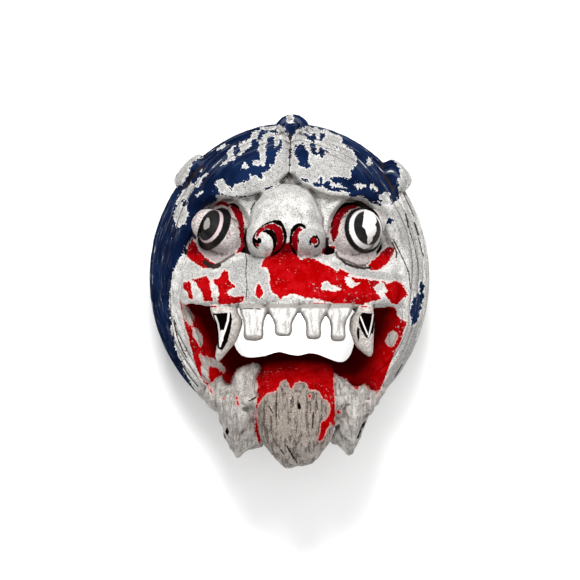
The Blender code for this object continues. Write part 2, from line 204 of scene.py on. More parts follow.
forms += [
    egg((-3, 53, 128), (29, 27, 42)),
    egg((-2, 64, 118), (24, 20, 30)),
    egg((-19.5, 40.5, 138), (15.5, 15.5, 30)),
    egg((14.0, 41, 138), (14.5, 15.5, 30)),
    egg(*LEFT_EYEBALL, BARREL),
    egg(*RIGHT_EYEBALL, BARREL),
    egg((-80.5, 95.5, 76), (16, 15, 5.5), (-0.755, 0.656, 0.15), 2.6),
    egg((85.5, 91.5, 76), (14, 15, 9), (0.76, 0.65, 0.15), 2.6),
    egg((2.4, 130, 80), (14, 10.5, 15), (0, 0.35, 0.94), 1.7),
]

# The open mouth
# Cut from the front into a funnel that narrows to the throat, where the wearer looks out.
# Its floor, walls and palate are painted red.
THROAT_EDGE = curved(
    [(-46, -14), (0, -10), (48, -14), (53, -30), (51, -46), (46, -56), (38, -57.5), (24, -52)]
    + [(16, -50.5), (8, -52.5), (0, -51.5), (-9, -49.5), (-20, -53), (-34, -54), (-42, -49), (-47, -32)]
)
MOUTH_MIDDLE = (MOUTH_X, -34)
FUNNEL_SIDES = 160
FUNNEL = [(230, 0.0), (116, 0.0), (104, 0.12), (94, 0.45), (84, 0.82), (76, 1.0), (40, 1.0)]


def placed(name, data):
    made = bpy.data.objects.new(name, data)
    bpy.context.scene.collection.objects.link(made)
    return made


def fuse(meshes, name, voxel):
    """Overlapping forms become one skin."""
    bm = bmesh.new()
    for mesh in meshes:
        bm.from_mesh(mesh)
        bpy.data.meshes.remove(mesh)
    made = placed(name, finished(bm, name))
    remesh = made.modifiers.new("fuse", "REMESH")
    remesh.mode = "VOXEL"
    remesh.voxel_size = voxel
    return settle(made)


def settle(made):
    seen = made.evaluated_get(bpy.context.evaluated_depsgraph_get())
    old, mesh = made.data, bpy.data.meshes.new_from_object(seen)
    made.modifiers.clear()
    made.data = mesh
    bpy.data.meshes.remove(old)
    return made


def cut(made, mesh):
    """Takes a cutter's volume out of the wood."""
    cutter = placed("cutter", mesh)
    carve = made.modifiers.new("carve", "BOOLEAN")
    carve.operation = "DIFFERENCE"
    carve.solver = "MANIFOLD"
    carve.object = cutter
    settle(made)
    bpy.data.objects.remove(cutter)
    return made


def reach(line, centre, angles):
    offset = line - np.array(centre)
    around = np.arctan2(offset[:, 1], offset[:, 0])
    order = np.argsort(around)
    return np.interp(angles, around[order], np.hypot(*offset[order].T), period=2 * math.pi)


bm = bmesh.new()
steps = np.linspace(0, 2 * math.pi, FUNNEL_SIDES, endpoint=False)
turned = (steps + math.pi) % (2 * math.pi) - math.pi
mouth_far = reach(MOUTH_EDGE, MOUTH_MIDDLE, turned)
throat_far = reach(THROAT_EDGE, MOUTH_MIDDLE, turned)
rings = []
for level, share in FUNNEL:
    far = mouth_far + (throat_far - mouth_far) * share
    ring = [
        bm.verts.new((MOUTH_MIDDLE[0] + f * math.cos(a), MOUTH_MIDDLE[1] + f * math.sin(a), level))
        for f, a in zip(far, steps)
    ]
    rings.append([bm.edges.new((a, b)) for a, b in zip(ring, ring[1:] + ring[:1])])
for upper, lower in zip(rings, rings[1:]):
    bmesh.ops.bridge_loops(bm, edges=upper + lower)
bmesh.ops.holes_fill(bm, edges=bm.edges, sides=0)
bmesh.ops.recalc_face_normals(bm, faces=bm.faces)
bmesh.ops.triangulate(bm, faces=bm.faces)
funnel_mesh = finished(bm, "funnel")
mask = cut(fuse(forms, "mask", voxel=1.4), funnel_mesh)

# Teeth, fangs, tongue and chin
# Left standing in the mouth and below it: four blunt teeth and two hooked fangs under the
# upper lip, the tongue that rolls out over the lower lip, the torn swellings beside it
# and a pointed tuft hanging at each side.


def leaf(outline, centre, front, back, middle, power=2.2):
    """A swollen form with a drawn outline. middle(x, y) is the height it swells from."""
    mesh = ball("leaf", around=120, rings=80)
    unit = read(mesh)
    flat = np.clip(np.hypot(unit[:, 0], unit[:, 1]), 0, 1)
    swell = np.clip(1 - flat**power, 0, 1) ** (1 / power)
    far = reach(curved(outline, 8), centre, np.arctan2(unit[:, 1], unit[:, 0]))
    x = centre[0] + unit[:, 0] * far
    y = centre[1] + unit[:, 1] * far
    write(mesh, np.stack([x, y, middle(x, y) + swell * np.where(unit[:, 2] > 0, front, -back)], 1))
    return mesh


def lip_level(x):
    return float(110 + 65 * muzzle_arc(np.array(x), 93))


def level(height):
    return lambda x, y: np.full(x.shape, float(height))


def tongue_middle(x, y):
    climb = smooth_step(-y, 44, 88)
    hang = np.clip((-y - 100) / 41, 0, 1)
    return 84 + 58 * climb - 16 * hang**1.6 - 0.008 * (x - TONGUE_X) ** 2


def tuft_middle(ridge_x):
    return lambda x, y: 122 - 12 * np.clip((-y - 84) / 48, 0, 1) - 0.35 * np.abs(x - ridge_x)


TONGUE_X = 6
# Each tooth's middle, half its width at the gum and at the foot, and where the foot ends.
TEETH = [
    (-28, 11.0, 7.6, -39.5), (-4.8, 12.0, 6.8, -36.0), (18.8, 11.0, 5.8, -38.5), (38, 11.0, 5.8, -40.0),
]
LEFT_FANG_MIDDLE, RIGHT_FANG_MIDDLE = (-50, -30), (58, -30)
LEFT_FANG = [
    (-61, -12), (-61, -19), (-58, -26), (-56.2, -37), (-57.4, -46), (-58.4, -51), (-57.2, -56),
    (-54, -55), (-46, -45.6), (-41.5, -39.5), (-37.5, -29), (-37, -24), (-40, -18), (-44, -10),
]
RIGHT_FANG = [
    (55, -10), (64.5, -10), (66.6, -22), (66.4, -35), (66, -43), (65.6, -49.5), (63.4, -52.5),
    (60, -51.2), (55, -47), (51.5, -43), (49, -37), (46.9, -29.5), (48, -22), (51.5, -17),
]
TONGUE = [
    (-23, -60), (-26, -84), (-24.5, -103), (-23, -117), (-18, -124.5), (-11, -133.5), (-3, -140.5),
    (5, -139.8), (15, -138), (21, -134), (27, -126.5), (32.5, -118), (36, -104), (37, -84), (36, -66),
    (29, -56), (6, -53.5), (-19, -55),
]
LEFT_TUFT = [
    (-60, -80), (-57, -98), (-52, -115), (-47, -126), (-42, -132.5), (-37, -130), (-29, -126.5),
    (-21, -123), (-22.5, -108), (-25, -88), (-40, -76),
]
RIGHT_TUFT = [
    (36, -84), (37, -106), (32, -120), (40, -125), (46, -130), (51, -128), (54, -122), (59, -110),
    (62, -101), (70, -88), (60, -78), (48, -76),
]
LEFT_LIP = [
    (-49.2, -97.6), (-48.4, -84), (-46, -75.2), (-44.4, -69.6), (-42.8, -64.8), (-39.6, -62.4),
    (-35.6, -60.4), (-31.6, -60), (-28.4, -56.4), (-26.6, -60.2), (-23.6, -60.8), (-25.4, -66),
    (-25.2, -75.2), (-25.2, -84), (-26, -96), (-31.6, -104),
]
LEFT_CORNER = [
    (-68.4, -84.8), (-66, -79.2), (-63.6, -74.4), (-61.2, -74.4), (-58, -70), (-55.6, -69.6),
    (-53.6, -66.8), (-52.4, -72), (-48.4, -76), (-45.2, -75.2), (-42.8, -84), (-44.4, -96),
    (-54, -99.2), (-63.6, -92),
]
RIGHT_LIP = [
    (35.6, -65.2), (37.2, -67.2), (40.4, -69.6), (45.2, -72.4), (48.4, -75.6), (50.8, -78.6),
    (54, -80.2), (56, -76.8), (59.6, -75.2), (62, -77.6), (63.6, -80.6), (66, -84.8), (62.8, -92.8),
    (52.4, -97.6), (38.8, -99.2), (34.8, -88),
]

forms = [mask.data.copy()]
bpy.data.objects.remove(mask)
tooth_outlines = []
for middle, root, foot, foot_y in TEETH:
    half = [(-root, -10), (-root, -16), (-1.05 * foot, -26), (-foot, foot_y + 3), (-0.6 * foot, foot_y)]
    outline = [(middle + x, y) for x, y in half] + [(middle - x, y) for x, y in half[::-1]]
    outline.append((middle, -6))
    tooth_outlines.append(outline)
    forms.append(leaf(outline, (middle, (foot_y - 10) / 2), 9, 9, level(lip_level(middle) - 11), 3.5))
forms += [
    leaf(LEFT_FANG, LEFT_FANG_MIDDLE, 12, 12, level(lip_level(LEFT_FANG_MIDDLE[0]) - 12)),
    leaf(RIGHT_FANG, RIGHT_FANG_MIDDLE, 12, 12, level(lip_level(RIGHT_FANG_MIDDLE[0]) - 12)),
    leaf(TONGUE, (TONGUE_X, -92), 17, 22, tongue_middle),
    leaf(LEFT_TUFT, (-41, -102), 24, 28, tuft_middle(-42), 1.5),
    leaf(RIGHT_TUFT, (51, -102), 24, 28, tuft_middle(50), 1.5),
    leaf(LEFT_LIP, (-36, -80), 15, 26, level(120)),
    leaf(LEFT_CORNER, (-55, -85), 16, 24, level(108)),
    leaf(RIGHT_LIP, (48, -86), 18, 24, level(115)),
    egg((60, -86, 104), (11, 9, 22)),
]
mask = fuse(forms, "mask", voxel=1.15)

# Knife work
# Hair strands are cut with a V tool round the sides and gather at the knot. The flat of the
# knife leaves soft facets, and the tongue, jaw and lip edge are worn down to ragged grain.
STRAND_WIDTH, STRAND_DEPTH, FINE_DEPTH = 8, 2.3, 0.35
TRIANGLES = 172000
points, outward = read(mask.data), read(mask.data, "normal")
x, y, z = points.T


def strand_line(x, y, z):
    """Where a point lies across the strands, in millimetres from the back rim."""
    away = from_middle(x, y)
    climb = np.arctan2(np.clip(z - WIDEST_Z, 0, None) / DOME_RISE, np.maximum(away, 1e-6))
    along = np.minimum(z, WIDEST_Z) + 86.0 * climb
    return along + 9.0 * np.exp(-((x / 20.0) ** 2)) * (y > 0) + 1.2 * np.sin(x * 0.05 + y * 0.07)


def on_hair(x, y):
    away = from_middle(x, y)
    return smooth_step(away, 0.8, 0.88) * (1 - smooth_step(away, 1.03, 1.06)) * smooth_step(y, -88, -60)


def roughness(points, size, seed):
    """Smooth random values between about -1 and 1, with lumps of the given size."""
    shift = Vector((seed * 17.3, seed * 5.1, seed * 9.7))
    return np.array([noise.noise(Vector(p) / size + shift) for p in points.tolist()])


strand = strand_line(x, y, z)
sideways = (x * outward[:, 0] + (y - MIDDLE_Y) * outward[:, 1]) / 110
hair = on_hair(x, y) * smooth_step(sideways, 0.05, 0.3)
deep = STRAND_DEPTH * (1 - np.abs(np.sin(math.pi * strand / STRAND_WIDTH)) ** 0.7) * hair
deep += FINE_DEPTH * (1 - np.abs(np.sin(3 * math.pi * strand / STRAND_WIDTH)) ** 0.6) * hair
facets = roughness(points, 9.0, 1)
grit = roughness(points, 2.6, 2)
chips = roughness(points * np.array([1.0, 0.6, 0.5]), 4.5, 5)
beside = np.abs(x - TONGUE_X)
worn = smooth_step(-y, 74 - 12 * (beside > 30), 84) * smooth_step(z, 70, 90)
ragged = 1 - smooth_step(np.abs(y + 11), 3, 6)
corners = worn * smooth_step(beside, 28, 34)
deep += 0.3 * facets + 0.12 * grit + worn * (0.5 * facets + 0.35 * grit)
deep += corners * (0.8 * facets + 1.1 * chips + 0.9 * np.maximum(chips, 0))
deep += ragged * smooth_step(z, 100, 110) * (0.5 * facets + 0.5 * grit)
grain = roughness(points * np.array([1.0, 0.12, 0.4]), 2.2, 3)
deep += 1.3 * np.clip(grain - 0.12, 0, None) * worn * smooth_step(beside, 33, 27)
write(mask.data, points - outward * deep[:, None])
on_front = (outward[:, 2] > 0.3) & ((z > head_relief(x, y) - 4) | (y < -70))
side_group = mask.vertex_groups.new(name="plain")
side_group.add(np.flatnonzero(~on_front).tolist(), 1.0, "REPLACE")
thin = mask.modifiers.new("thin", "DECIMATE")
thin.ratio = TRIANGLES / sum(len(p.vertices) - 2 for p in mask.data.polygons)
thin.vertex_group = "plain"
settle(mask)

# Hollow and back rim
# The back is gouged out so that the mask goes over a face, leaving a wall of about 12 mm,
# and the rim is sawn flat.
SIDE_WALL, HOLLOW_DEPTH, MOUTH_FLOOR, HOLLOW_LOW = 12.0, 96.0, 64.0, 33.0


def hollow_roof(x, y):
    flat = from_middle(x, y, SIDE_WALL)
    roof = HOLLOW_LOW + (HOLLOW_DEPTH - HOLLOW_LOW) * np.clip(1 - flat**2.6, 0, 1) ** (1 / 2.6)
    round_mouth = np.hypot((x - MOUTH_X) / 92, (y + 42) / 52)
    return np.minimum(roof, MOUTH_FLOOR + 50 * np.clip(round_mouth - 0.85, 0, None))


hollow_mesh = ball("hollow", around=180, rings=90)
unit = read(hollow_mesh)
below = unit[:, 2] < 0
flat = np.maximum(np.hypot(unit[:, 0], unit[:, 1]), 1e-6)
spread = np.where(below & (unit[:, 2] > -0.55), 1 / flat, 1.0)
spread *= np.where(below, 1 - 0.05 * np.minimum(-unit[:, 2] * 1.6, 1), 1.0)
x = unit[:, 0] * (HALF_WIDTH - SIDE_WALL) * spread
y = unit[:, 1] * (HALF_HEIGHT - SIDE_WALL) * spread + MIDDLE_Y
gouged = hollow_roof(x, y) + 0.5 * roughness(np.stack([x, y, 0 * x], 1), 11.0, 4)
z = np.where(below, HOLLOW_LOW * (1 - smooth_step(-unit[:, 2], 0, 0.55)) - 30, gouged)
write(hollow_mesh, np.stack([x, y, z], 1))
cut(mask, hollow_mesh)
bm = bmesh.new()
bmesh.ops.create_cube(bm, size=600, matrix=Matrix.Translation((0, 0, -300)))
cut(mask, finished(bm, "saw"))
mask.name = "carved_mask"
mask.vertex_groups.clear()

# Where the paint lies
# Navy hair, a white face, red lips, lids and mouth, and black lines, all worn through in
# drawn patches to the grey ground. Each layer is kept on the wood as the depth inside its
# outline in millimetres, so that the paint below can fray its edges.
points = read(mask.data)
x, y, z = points.T
relief = head_relief(x, y)


def depth_in(line, far=FAR):
    return inside(x, y, np.array(line, float), far)


def deepest(outlines):
    return np.max([depth_in(line) for line in outlines], axis=0)


DEEPEST = 400


def keep(name, values):
    layer = mask.data.attributes.new(name, "FLOAT", "POINT")
    layer.data.foreach_set("value", np.clip(values, -FAR, DEEPEST).astype(np.float32))


BELOW_HAIR = [
    (-66.8, -94.4), (-75.6, -80), (-79.6, -72), (-84.4, -62.4), (-90, -48), (-94, -32), (-95.6, -8),
    (-94.8, 4), (-91.6, 16), (-87.6, 24), (-82, 34.4), (-76.4, 39.2), (-70, 45.6), (-68.4, 52),
    (-67.6, 59.2), (-65.2, 64.8), (-62, 68), (-57.2, 70.4), (-54, 75.2), (-47.6, 73.6), (-37.2, 73.6),
    (-27.6, 75.2), (-22, 78.4), (-15.6, 80.8), (-7.6, 84.8), (-3.6, 88.8), (0, 92), (4.4, 89.6),
    (8.4, 87.2), (16.4, 82.4), (24.4, 80.8), (32.4, 78.4), (38.8, 76.8), (44.4, 76.8), (50, 73.6),
    (58, 74.4), (61.2, 71.2), (66, 68.8), (74, 67.2), (82, 68.8), (86, 72), (90, 80), (95.6, 85.6),
    (100.4, 76), (108.4, 60), (115.6, 32), (115.6, -8), (107.6, -44), (93.2, -76), (72.4, -108),
    (48.4, -152), (-47.6, -152),
]
WORN_HAIR = [
    [(87.6, 90.4), (85.2, 88), (86.4, 83.2), (87.6, 78.4), (89.2, 74.4), (90.8, 70.4), (94.8, 72),
     (94.8, 84.8), (91.6, 90.4)],
    [(-8.4, 128.8), (-4.4, 127.2), (-1.2, 122.4), (0, 116), (0, 94.4), (-3.6, 88.8), (-7.6, 84.8),
     (-15.6, 80.8), (-22, 78.4), (-27.6, 75.2), (-37.2, 73.6), (-47.6, 73.6), (-54, 77.6),
     (-58.8, 82.4), (-58.8, 86.4), (-55.6, 88), (-51.6, 86.4), (-48.4, 82.4), (-45.2, 80), (-42.8, 84),
     (-37.2, 84.8), (-34, 87.2), (-31.6, 88), (-32.4, 91.2), (-29.2, 90.4), (-25.2, 92), (-23.6, 88),
     (-21.2, 88.8), (-22, 92.8), (-18, 94.4), (-14.8, 94.4), (-15.6, 99.2), (-12.4, 99.2),
     (-10.8, 105.6), (-8.4, 110.4), (-5.2, 112), (-6, 117.6), (-7.6, 122.4), (-11.6, 123.2)],
    [(-23.6, 119.2), (-18.8, 120.8), (-17.2, 116), (-18.8, 110.4), (-18.8, 104), (-20.4, 99.2),
     (-22.8, 101.6), (-23.6, 108), (-24.4, 113.6)],
    [(-28.4, 102.4), (-23.6, 102.4), (-22, 99.2), (-25.2, 97.6), (-28.4, 99.2)],
    [(-26.8, 127.2), (-23.6, 129.6), (-15.6, 131.2), (-9.2, 132), (-5.2, 129.6), (-1.2, 124.8),
     (-0.4, 120), (-4.4, 119.2), (-7.6, 125.6), (-11.6, 127.2), (-17.2, 127.2), (-23.6, 127.2)],
    [(-18.8, 124.8), (-15.6, 126.4), (-10.8, 124.8), (-7.6, 121.6), (-9.2, 113.6), (-11.6, 113.6),
     (-12.4, 122.4), (-17.2, 121.6), (-22, 120), (-25.2, 119.2), (-22, 121.6)],
    [(-30.8, 120.8), (-31.6, 115.2), (-34.8, 111.2), (-37.2, 108), (-41.2, 106.4), (-44.4, 102.4),
     (-46, 104), (-47.6, 102.4), (-54, 99.2), (-49.2, 105.6), (-50, 109.6), (-46.8, 112),
     (-42.8, 114.4), (-39.6, 116.8), (-35.6, 119.2)],
    [(-36.4, 101.6), (-34, 101.6), (-33.2, 96.8), (-34.8, 95.2), (-37.2, 96.8)],
    [(-30, 126.4), (-26.8, 125.6), (-25.2, 122.4), (-30, 120), (-31.6, 121.6)],
    [(-57.2, 112), (-54, 115.2), (-49.2, 117.6), (-46.8, 118.4), (-50.8, 114.4), (-54.8, 112.8),
     (-57.2, 108.8)],
    [(-71.6, 95.2), (-69.2, 96.8), (-66, 99.2), (-69.2, 95.2), (-71.6, 94.4)],
    [(-71.6, 88.8), (-68.4, 91.2), (-65.2, 92.8), (-66.8, 89.6), (-70, 88), (-70, 84.8), (-73.2, 81.6),
     (-76.4, 83.2), (-74.8, 87.2)],
    [(-87.6, 76), (-83.6, 80), (-79.6, 82.4), (-77.2, 85.6), (-74, 82.4), (-76.4, 80), (-78, 77.6),
     (-79.6, 74.4), (-81.2, 72), (-80.4, 68.8), (-82, 64.8), (-80.4, 60), (-82, 51.2), (-90.8, 51.2),
     (-92.4, 60), (-90.8, 65.6), (-89.2, 72)],
    [(-77.2, 110), (-70, 108.8), (-71.6, 105.6), (-75.6, 102.4), (-79.6, 97.6), (-81.2, 92),
     (-83.6, 88), (-86, 83.2), (-90, 82.4), (-93.2, 84.8), (-92.4, 89.6), (-90.8, 94.4), (-86.8, 100),
     (-82.8, 104)],
    [(-58, 74.4), (-54.8, 74.4), (-54.8, 72), (-57.2, 72)],
    [(-74.8, 75.2), (-72.4, 76.8), (-68.4, 78.4), (-70.8, 76), (-73.2, 73.6)],
    [(-95.6, 84.8), (-91.6, 84.8), (-91.6, 78.4), (-95.6, 78.4)],
    [(1.2, 122.4), (6, 127.2), (10.8, 129.6), (15.6, 130.8), (22.8, 129.6), (30.8, 127.2), (38.8, 124),
     (42, 121.6), (41.2, 117.6), (44.4, 115.2), (48.4, 112), (50.8, 108.8), (54, 104), (53.2, 99.2),
     (50.8, 96), (47.6, 94.4), (47.6, 89.6), (38.8, 89.6), (32.4, 88), (36.4, 84.8), (42, 84.8),
     (41.2, 80.8), (44.4, 80.8), (46.8, 78.4), (47.6, 73.6), (42, 71.2), (36.4, 68.8), (28.4, 70.4),
     (8.4, 80), (0.4, 88)],
    [(50.8, 85.6), (54, 86.4), (58, 84), (62, 83.2), (58.8, 80.8), (54.8, 79.2), (51.6, 81.6)],
    [(63.6, 82.4), (66.8, 83.2), (70, 80), (70.8, 76), (67.6, 80), (64.4, 80.8)],
    [(71.6, 76), (75.6, 77.6), (78.8, 76.8), (81.2, 74.4), (82, 71.2), (80.4, 67.2), (74, 67.2),
     (72.4, 68.8), (69.2, 71.2), (64.4, 68.8), (61.2, 69.6)],
    [(62.8, 105.6), (65.2, 105.6), (65.2, 99.2), (62.8, 99.2)],
    [(79.6, 108), (86, 106.4), (91.6, 101.6), (95.6, 96), (97.2, 90.4), (96.4, 85.6), (90.8, 84.8),
     (87.6, 88), (89.2, 91.2), (87.6, 97.6), (83.6, 103.2)],
    [(-3.6, 140), (0.4, 140.8), (3.6, 137.6), (2.8, 132.8), (-1.2, 132), (-3.6, 135.2)],
]
HAIR_LEFT = [
    [(-44.4, 114.4), (-41.2, 115.2), (-39.6, 112), (-40.4, 107.2), (-43.6, 105.6), (-45.2, 109.6)],
    [(-85.2, 71.2), (-82, 72), (-80.4, 69.6), (-82, 67.2), (-85.2, 67.2)],
    [(-77.2, 102.4), (-74, 102.4), (-73.2, 98.4), (-76.4, 97.6)],
    [(4.4, 116), (8.4, 116), (11.6, 117.6), (13.2, 112), (14.8, 108), (15.6, 102.4), (16.4, 97.6),
     (13.2, 95.2), (10, 97.6), (6.8, 100), (5.2, 105.6), (4.4, 112)],
    [(10.8, 124.8), (14, 124.8), (15.6, 123.2), (18.8, 125.6), (20.4, 124), (21.2, 119.2),
     (17.2, 117.6), (14, 119.2), (13.2, 122.4)],
    [(23.6, 125.6), (26.8, 125.6), (29.2, 123.2), (26.8, 120), (24.4, 118.4), (23.6, 121.6)],
    [(16.4, 116), (19.6, 116.8), (20.4, 112), (22, 108), (21.2, 105.6), (18, 108.8)],
    [(23.6, 112), (26.8, 112.8), (26.8, 108), (25.2, 104.8), (23.6, 108)],
    [(28.4, 112), (30.8, 112), (30.8, 109.6), (28.4, 109.6)],
    [(35.6, 112.8), (37.2, 113.6), (38, 110.4), (36.4, 110.4)],
    [(9.2, 88), (14, 88), (17.2, 84.8), (22.8, 84.8), (21.2, 87.2), (24.4, 89.6), (26.8, 88.8),
     (26.8, 85.6), (30.8, 84.8), (33.2, 81.6), (38, 80.8), (42.8, 81.6), (45.2, 80), (50, 80),
     (54.8, 78.4), (59.6, 80), (66, 80.8), (70, 76), (70.8, 72.8), (74, 71.2), (73.2, 68.8),
     (68.4, 71.2), (64.4, 68.8), (61.2, 71.2), (58, 75.2), (51.6, 73.6), (48.4, 72.8), (47.6, 76),
     (44.4, 77.6), (38.8, 77.6), (32.4, 78.4), (28.4, 80.8), (26, 80.8), (19.6, 81.6), (15.6, 84.8)],
    [(75.6, 101.6), (80.4, 102.4), (83.6, 100.8), (86.8, 96), (89.2, 91.2), (86, 87.2), (82.8, 91.2),
     (78.8, 97.6)],
    [(78.8, 80), (82.8, 80.8), (85.2, 72), (82, 68.8), (78.8, 73.6)],
    [(85.2, 80), (87.6, 77.6), (88.4, 72.8), (86, 73.6)],
    [(78, 56), (80.4, 58.4), (82, 55.2), (80.4, 52.8), (78, 53.6)],
    [(96.4, -17.6), (97.2, -10.4), (98.8, -7.2), (100.4, -3.2), (103.6, -1.6), (104.4, 5.6),
     (106.8, 7.2), (107.6, 3.2), (107.6, -4.8), (106.8, -8), (105.2, -10.4), (104.4, -16),
     (102.8, -20.8), (102, -25.6), (98.8, -28.8), (97.2, -25.6)],
]
below_hair = depth_in(BELOW_HAIR, far=30.0)
navy = -np.maximum(below_hair, deepest(WORN_HAIR))
low_crown = np.where((x < 78) | (y > 92), (46 - z) * 0.35, -FAR)
navy = np.maximum(navy, np.minimum(-below_hair, low_crown))
keep("navy", np.maximum(navy, deepest(HAIR_LEFT)))
GREY = [
    [(-54, 17.6), (-42.8, 22.4), (-31.6, 27.2), (-22, 25.6), (-20.4, 17.6), (-15.6, 8), (-14, -1.6),
     (-6, -8), (-22, -10.4), (-36.4, -11.2), (-47.6, -6.4), (-42.8, 2.4), (-49.2, 11.2)],
    [(8.4, 46.4), (16.4, 48.8), (24.4, 46.4), (28.4, 40), (27.6, 32), (21.2, 26.4), (12.4, 27.2),
     (7.6, 33.6)],
    [(-84.4, -12.8), (-59.6, -8), (-39.6, -11.2), (8.4, -9.6), (44.4, -12.8), (68.4, -10.4), (91.6, -8),
     (91.6, -14.4), (64.4, -17.6), (8.4, -16), (-39.6, -16), (-79.6, -16)],
    [(76.4, 60), (86.8, 67.2), (96.4, 60.8), (104.4, 32), (107.6, -8), (100.4, -44), (88.4, -70.4),
     (72.4, -92), (62.8, -97.6), (77.2, -72), (91.6, -40), (98, -8), (94.8, 24), (85.2, 44)],
    [(32.4, 22.4), (48.4, 19.2), (72.4, 14.4), (91.6, 11.2), (88.4, 6.4), (72.4, 8), (48.4, 11.2),
     (35.6, 14.4)],
]
keep("grey", np.maximum(deepest(GREY), -depth_in(BELOW_HAIR)))
keep("strand", strand_line(x, y, z))
keep("hair", on_hair(x, y) * 10)

LIP_RED = [
    [(-85.2, 1.6), (-83.6, 5.6), (-79.6, 7.2), (-78, 4.8), (-77.2, -0.8), (-75.6, -5.6), (-76.4, -8),
     (-79.6, -6.4), (-81.2, -0.8), (-83.6, 0.8)],
    [(-76.4, 8), (-69.2, 10.4), (-65.2, 11.2), (-62.8, 8), (-62.8, 3.2), (-61.2, -2.4), (-59.6, -8.8),
     (-67.6, -8.8), (-68.4, -3.2), (-71.6, 2.4)],
    [(-60.4, 8), (-56.4, 8.8), (-54, 11.2), (-53.2, 14.4), (-50.8, 16), (-48.4, 14.4), (-47.6, 8),
     (-45.2, 5.6), (-42.8, 2.4), (-46.8, 0.8), (-49.2, -1.6), (-48.4, -4), (-43.6, -5.6), (-34.8, -4),
     (-35.6, -8), (-37.2, -10.4), (-42, -10.4), (-49.2, -11.2), (-55.6, -10.4), (-56.4, -5.6),
     (-54.8, -3.2), (-56.4, 2.4), (-58.8, 5.6)],
    [(-25.2, 4.8), (-23.6, 6.4), (-22, 1.6), (-20.4, -2.4), (-23.6, -6.4), (-26, -4.8), (-26.8, 0)],
    [(-22, 18.4), (-21.2, 22.4), (-17.2, 26.4), (-13.2, 29.6), (-10, 30.4), (-5.2, 32), (2, 32),
     (5.2, 26.4), (8.4, 24), (14, 24.8), (19.6, 24), (26, 20.8), (30.8, 18.4), (34.8, 16.8),
     (37.2, 13.6), (39.6, 16.8), (43.6, 14.4), (46.8, 12.8), (45.2, 10.4), (50, 10.4), (54.8, 9.6),
     (59.6, 8.8), (66, 7.2), (72.4, 7.2), (77.2, 4.8), (82.8, 7.2), (86, 7.2), (90, 4), (92.4, 0),
     (94, -4), (90, -6.4), (87.6, -9.6), (85.2, -12), (80.4, -10.4), (77.2, -6.4), (75.6, -4.8),
     (74, -2.4), (72.4, -4.8), (70.8, -7.2), (66, -8.8), (59.6, -10.8), (53.2, -11.2), (45.2, -12),
     (38.8, -11.6), (32.4, -10.4), (26, -8), (18.8, -6.4), (12.4, -5.6), (6, -3.2), (0.4, -3.2),
     (-4.4, -4.8), (-7.6, -7.2), (-10, -3.2), (-13.2, -2.4), (-14.8, 2.4), (-15.6, 8), (-16.4, 14.4),
     (-17.2, 17.6)],
    [(-18.8, 22.4), (-15.6, 27.2), (-11.6, 30.4), (-8.4, 34.4), (-4.4, 36.8), (0.4, 36.8), (5.2, 32),
     (6.8, 25.6), (8.4, 22.4)],
    [(14.8, -10.4), (22.8, -9.6), (30.8, -11.2), (32.4, -14.4), (29.2, -16.8), (26, -13.6),
     (21.2, -12.8), (15.6, -14.4)],
    [(43.6, -13.6), (49.2, -12.8), (48.4, -15.6), (44.4, -15.6)],
    [(54.8, -12.8), (62.8, -12.8), (65.2, -16.8), (61.2, -19.2), (54.8, -17.6)],
    [(-66, -12.8), (-58, -12.8), (-58, -18.4), (-60.4, -20.8), (-64.4, -16.8)],
]
LIP_WORN = [
    [(25.2, 4.8), (27.6, 7.2), (30.8, 6.4), (32.4, 4), (37.2, 2.4), (40.4, 0.8), (37.2, -0.8),
     (32.4, -0.8), (28.4, 0.8), (25.2, 0)],
    [(43.6, 10.4), (48.4, 10.4), (49.2, 7.2), (51.6, 4.8), (54.8, 5.6), (52.4, 3.2), (47.6, 1.6),
     (45.2, 4), (43.6, 7.2)],
    [(66, 2.4), (69.2, 4), (71.6, 7.2), (74, 5.6), (75.6, 1.6), (77.2, -0.8), (74, -4), (71.6, -6.4),
     (68.4, -3.2), (67.6, 0)],
]
LID_RED = [
    [(-46.8, 66.4), (-44.4, 67.2), (-42, 66.4), (-40, 64.4), (-38.4, 61.6), (-37.2, 57.6),
     (-36.4, 52.8), (-36, 47.2), (-35.6, 42.4), (-37.2, 40), (-38.4, 41.6), (-39.2, 46.4), (-40, 52),
     (-41.6, 57.6), (-44, 61.6)],
    [(-60, 66.8), (-58, 69.2), (-54.8, 70.2), (-50.8, 69.6), (-47.6, 68), (-48.4, 66.4), (-52.4, 67.8),
     (-56.4, 67.2)],
    [(-36.8, 42.4), (-35.4, 37.6), (-35.8, 32.8), (-38, 30.4), (-42, 28.8), (-39.2, 32.4), (-37.5, 36),
     (-38.4, 40)],
    [(-77.2, 40), (-75.6, 37.6), (-74, 33.6), (-71.6, 29.6), (-68.4, 26.4), (-65.2, 24), (-62.8, 22.4),
     (-58.8, 20.4), (-64.4, 17.6), (-71.6, 19.2), (-75.6, 22.4), (-79.6, 25.6), (-81.6, 28.8),
     (-80.8, 32), (-79.6, 36)],
    [(33.2, 45.6), (33.6, 51.2), (34.8, 56), (37.2, 60.8), (41.2, 64.8), (46, 67.2), (50.8, 68),
     (54.8, 67.6), (51.6, 65.6), (46.8, 63.2), (42.8, 60), (40.4, 56), (38.8, 50.4), (37.6, 46.4),
     (36.4, 41.6), (34.8, 37.6), (33.6, 40)],
    [(26, 32), (32.4, 34.4), (35.6, 33.6), (34.8, 30.4), (31.6, 28.4), (26, 28)],
    [(65.2, 22.4), (69.2, 25.6), (73.2, 29.6), (76.4, 32.8), (80.4, 34.4), (83.6, 32.8), (81.2, 28),
     (78, 22.4), (74, 19.2), (70, 16.4), (64.4, 16), (62, 19.2)],
]
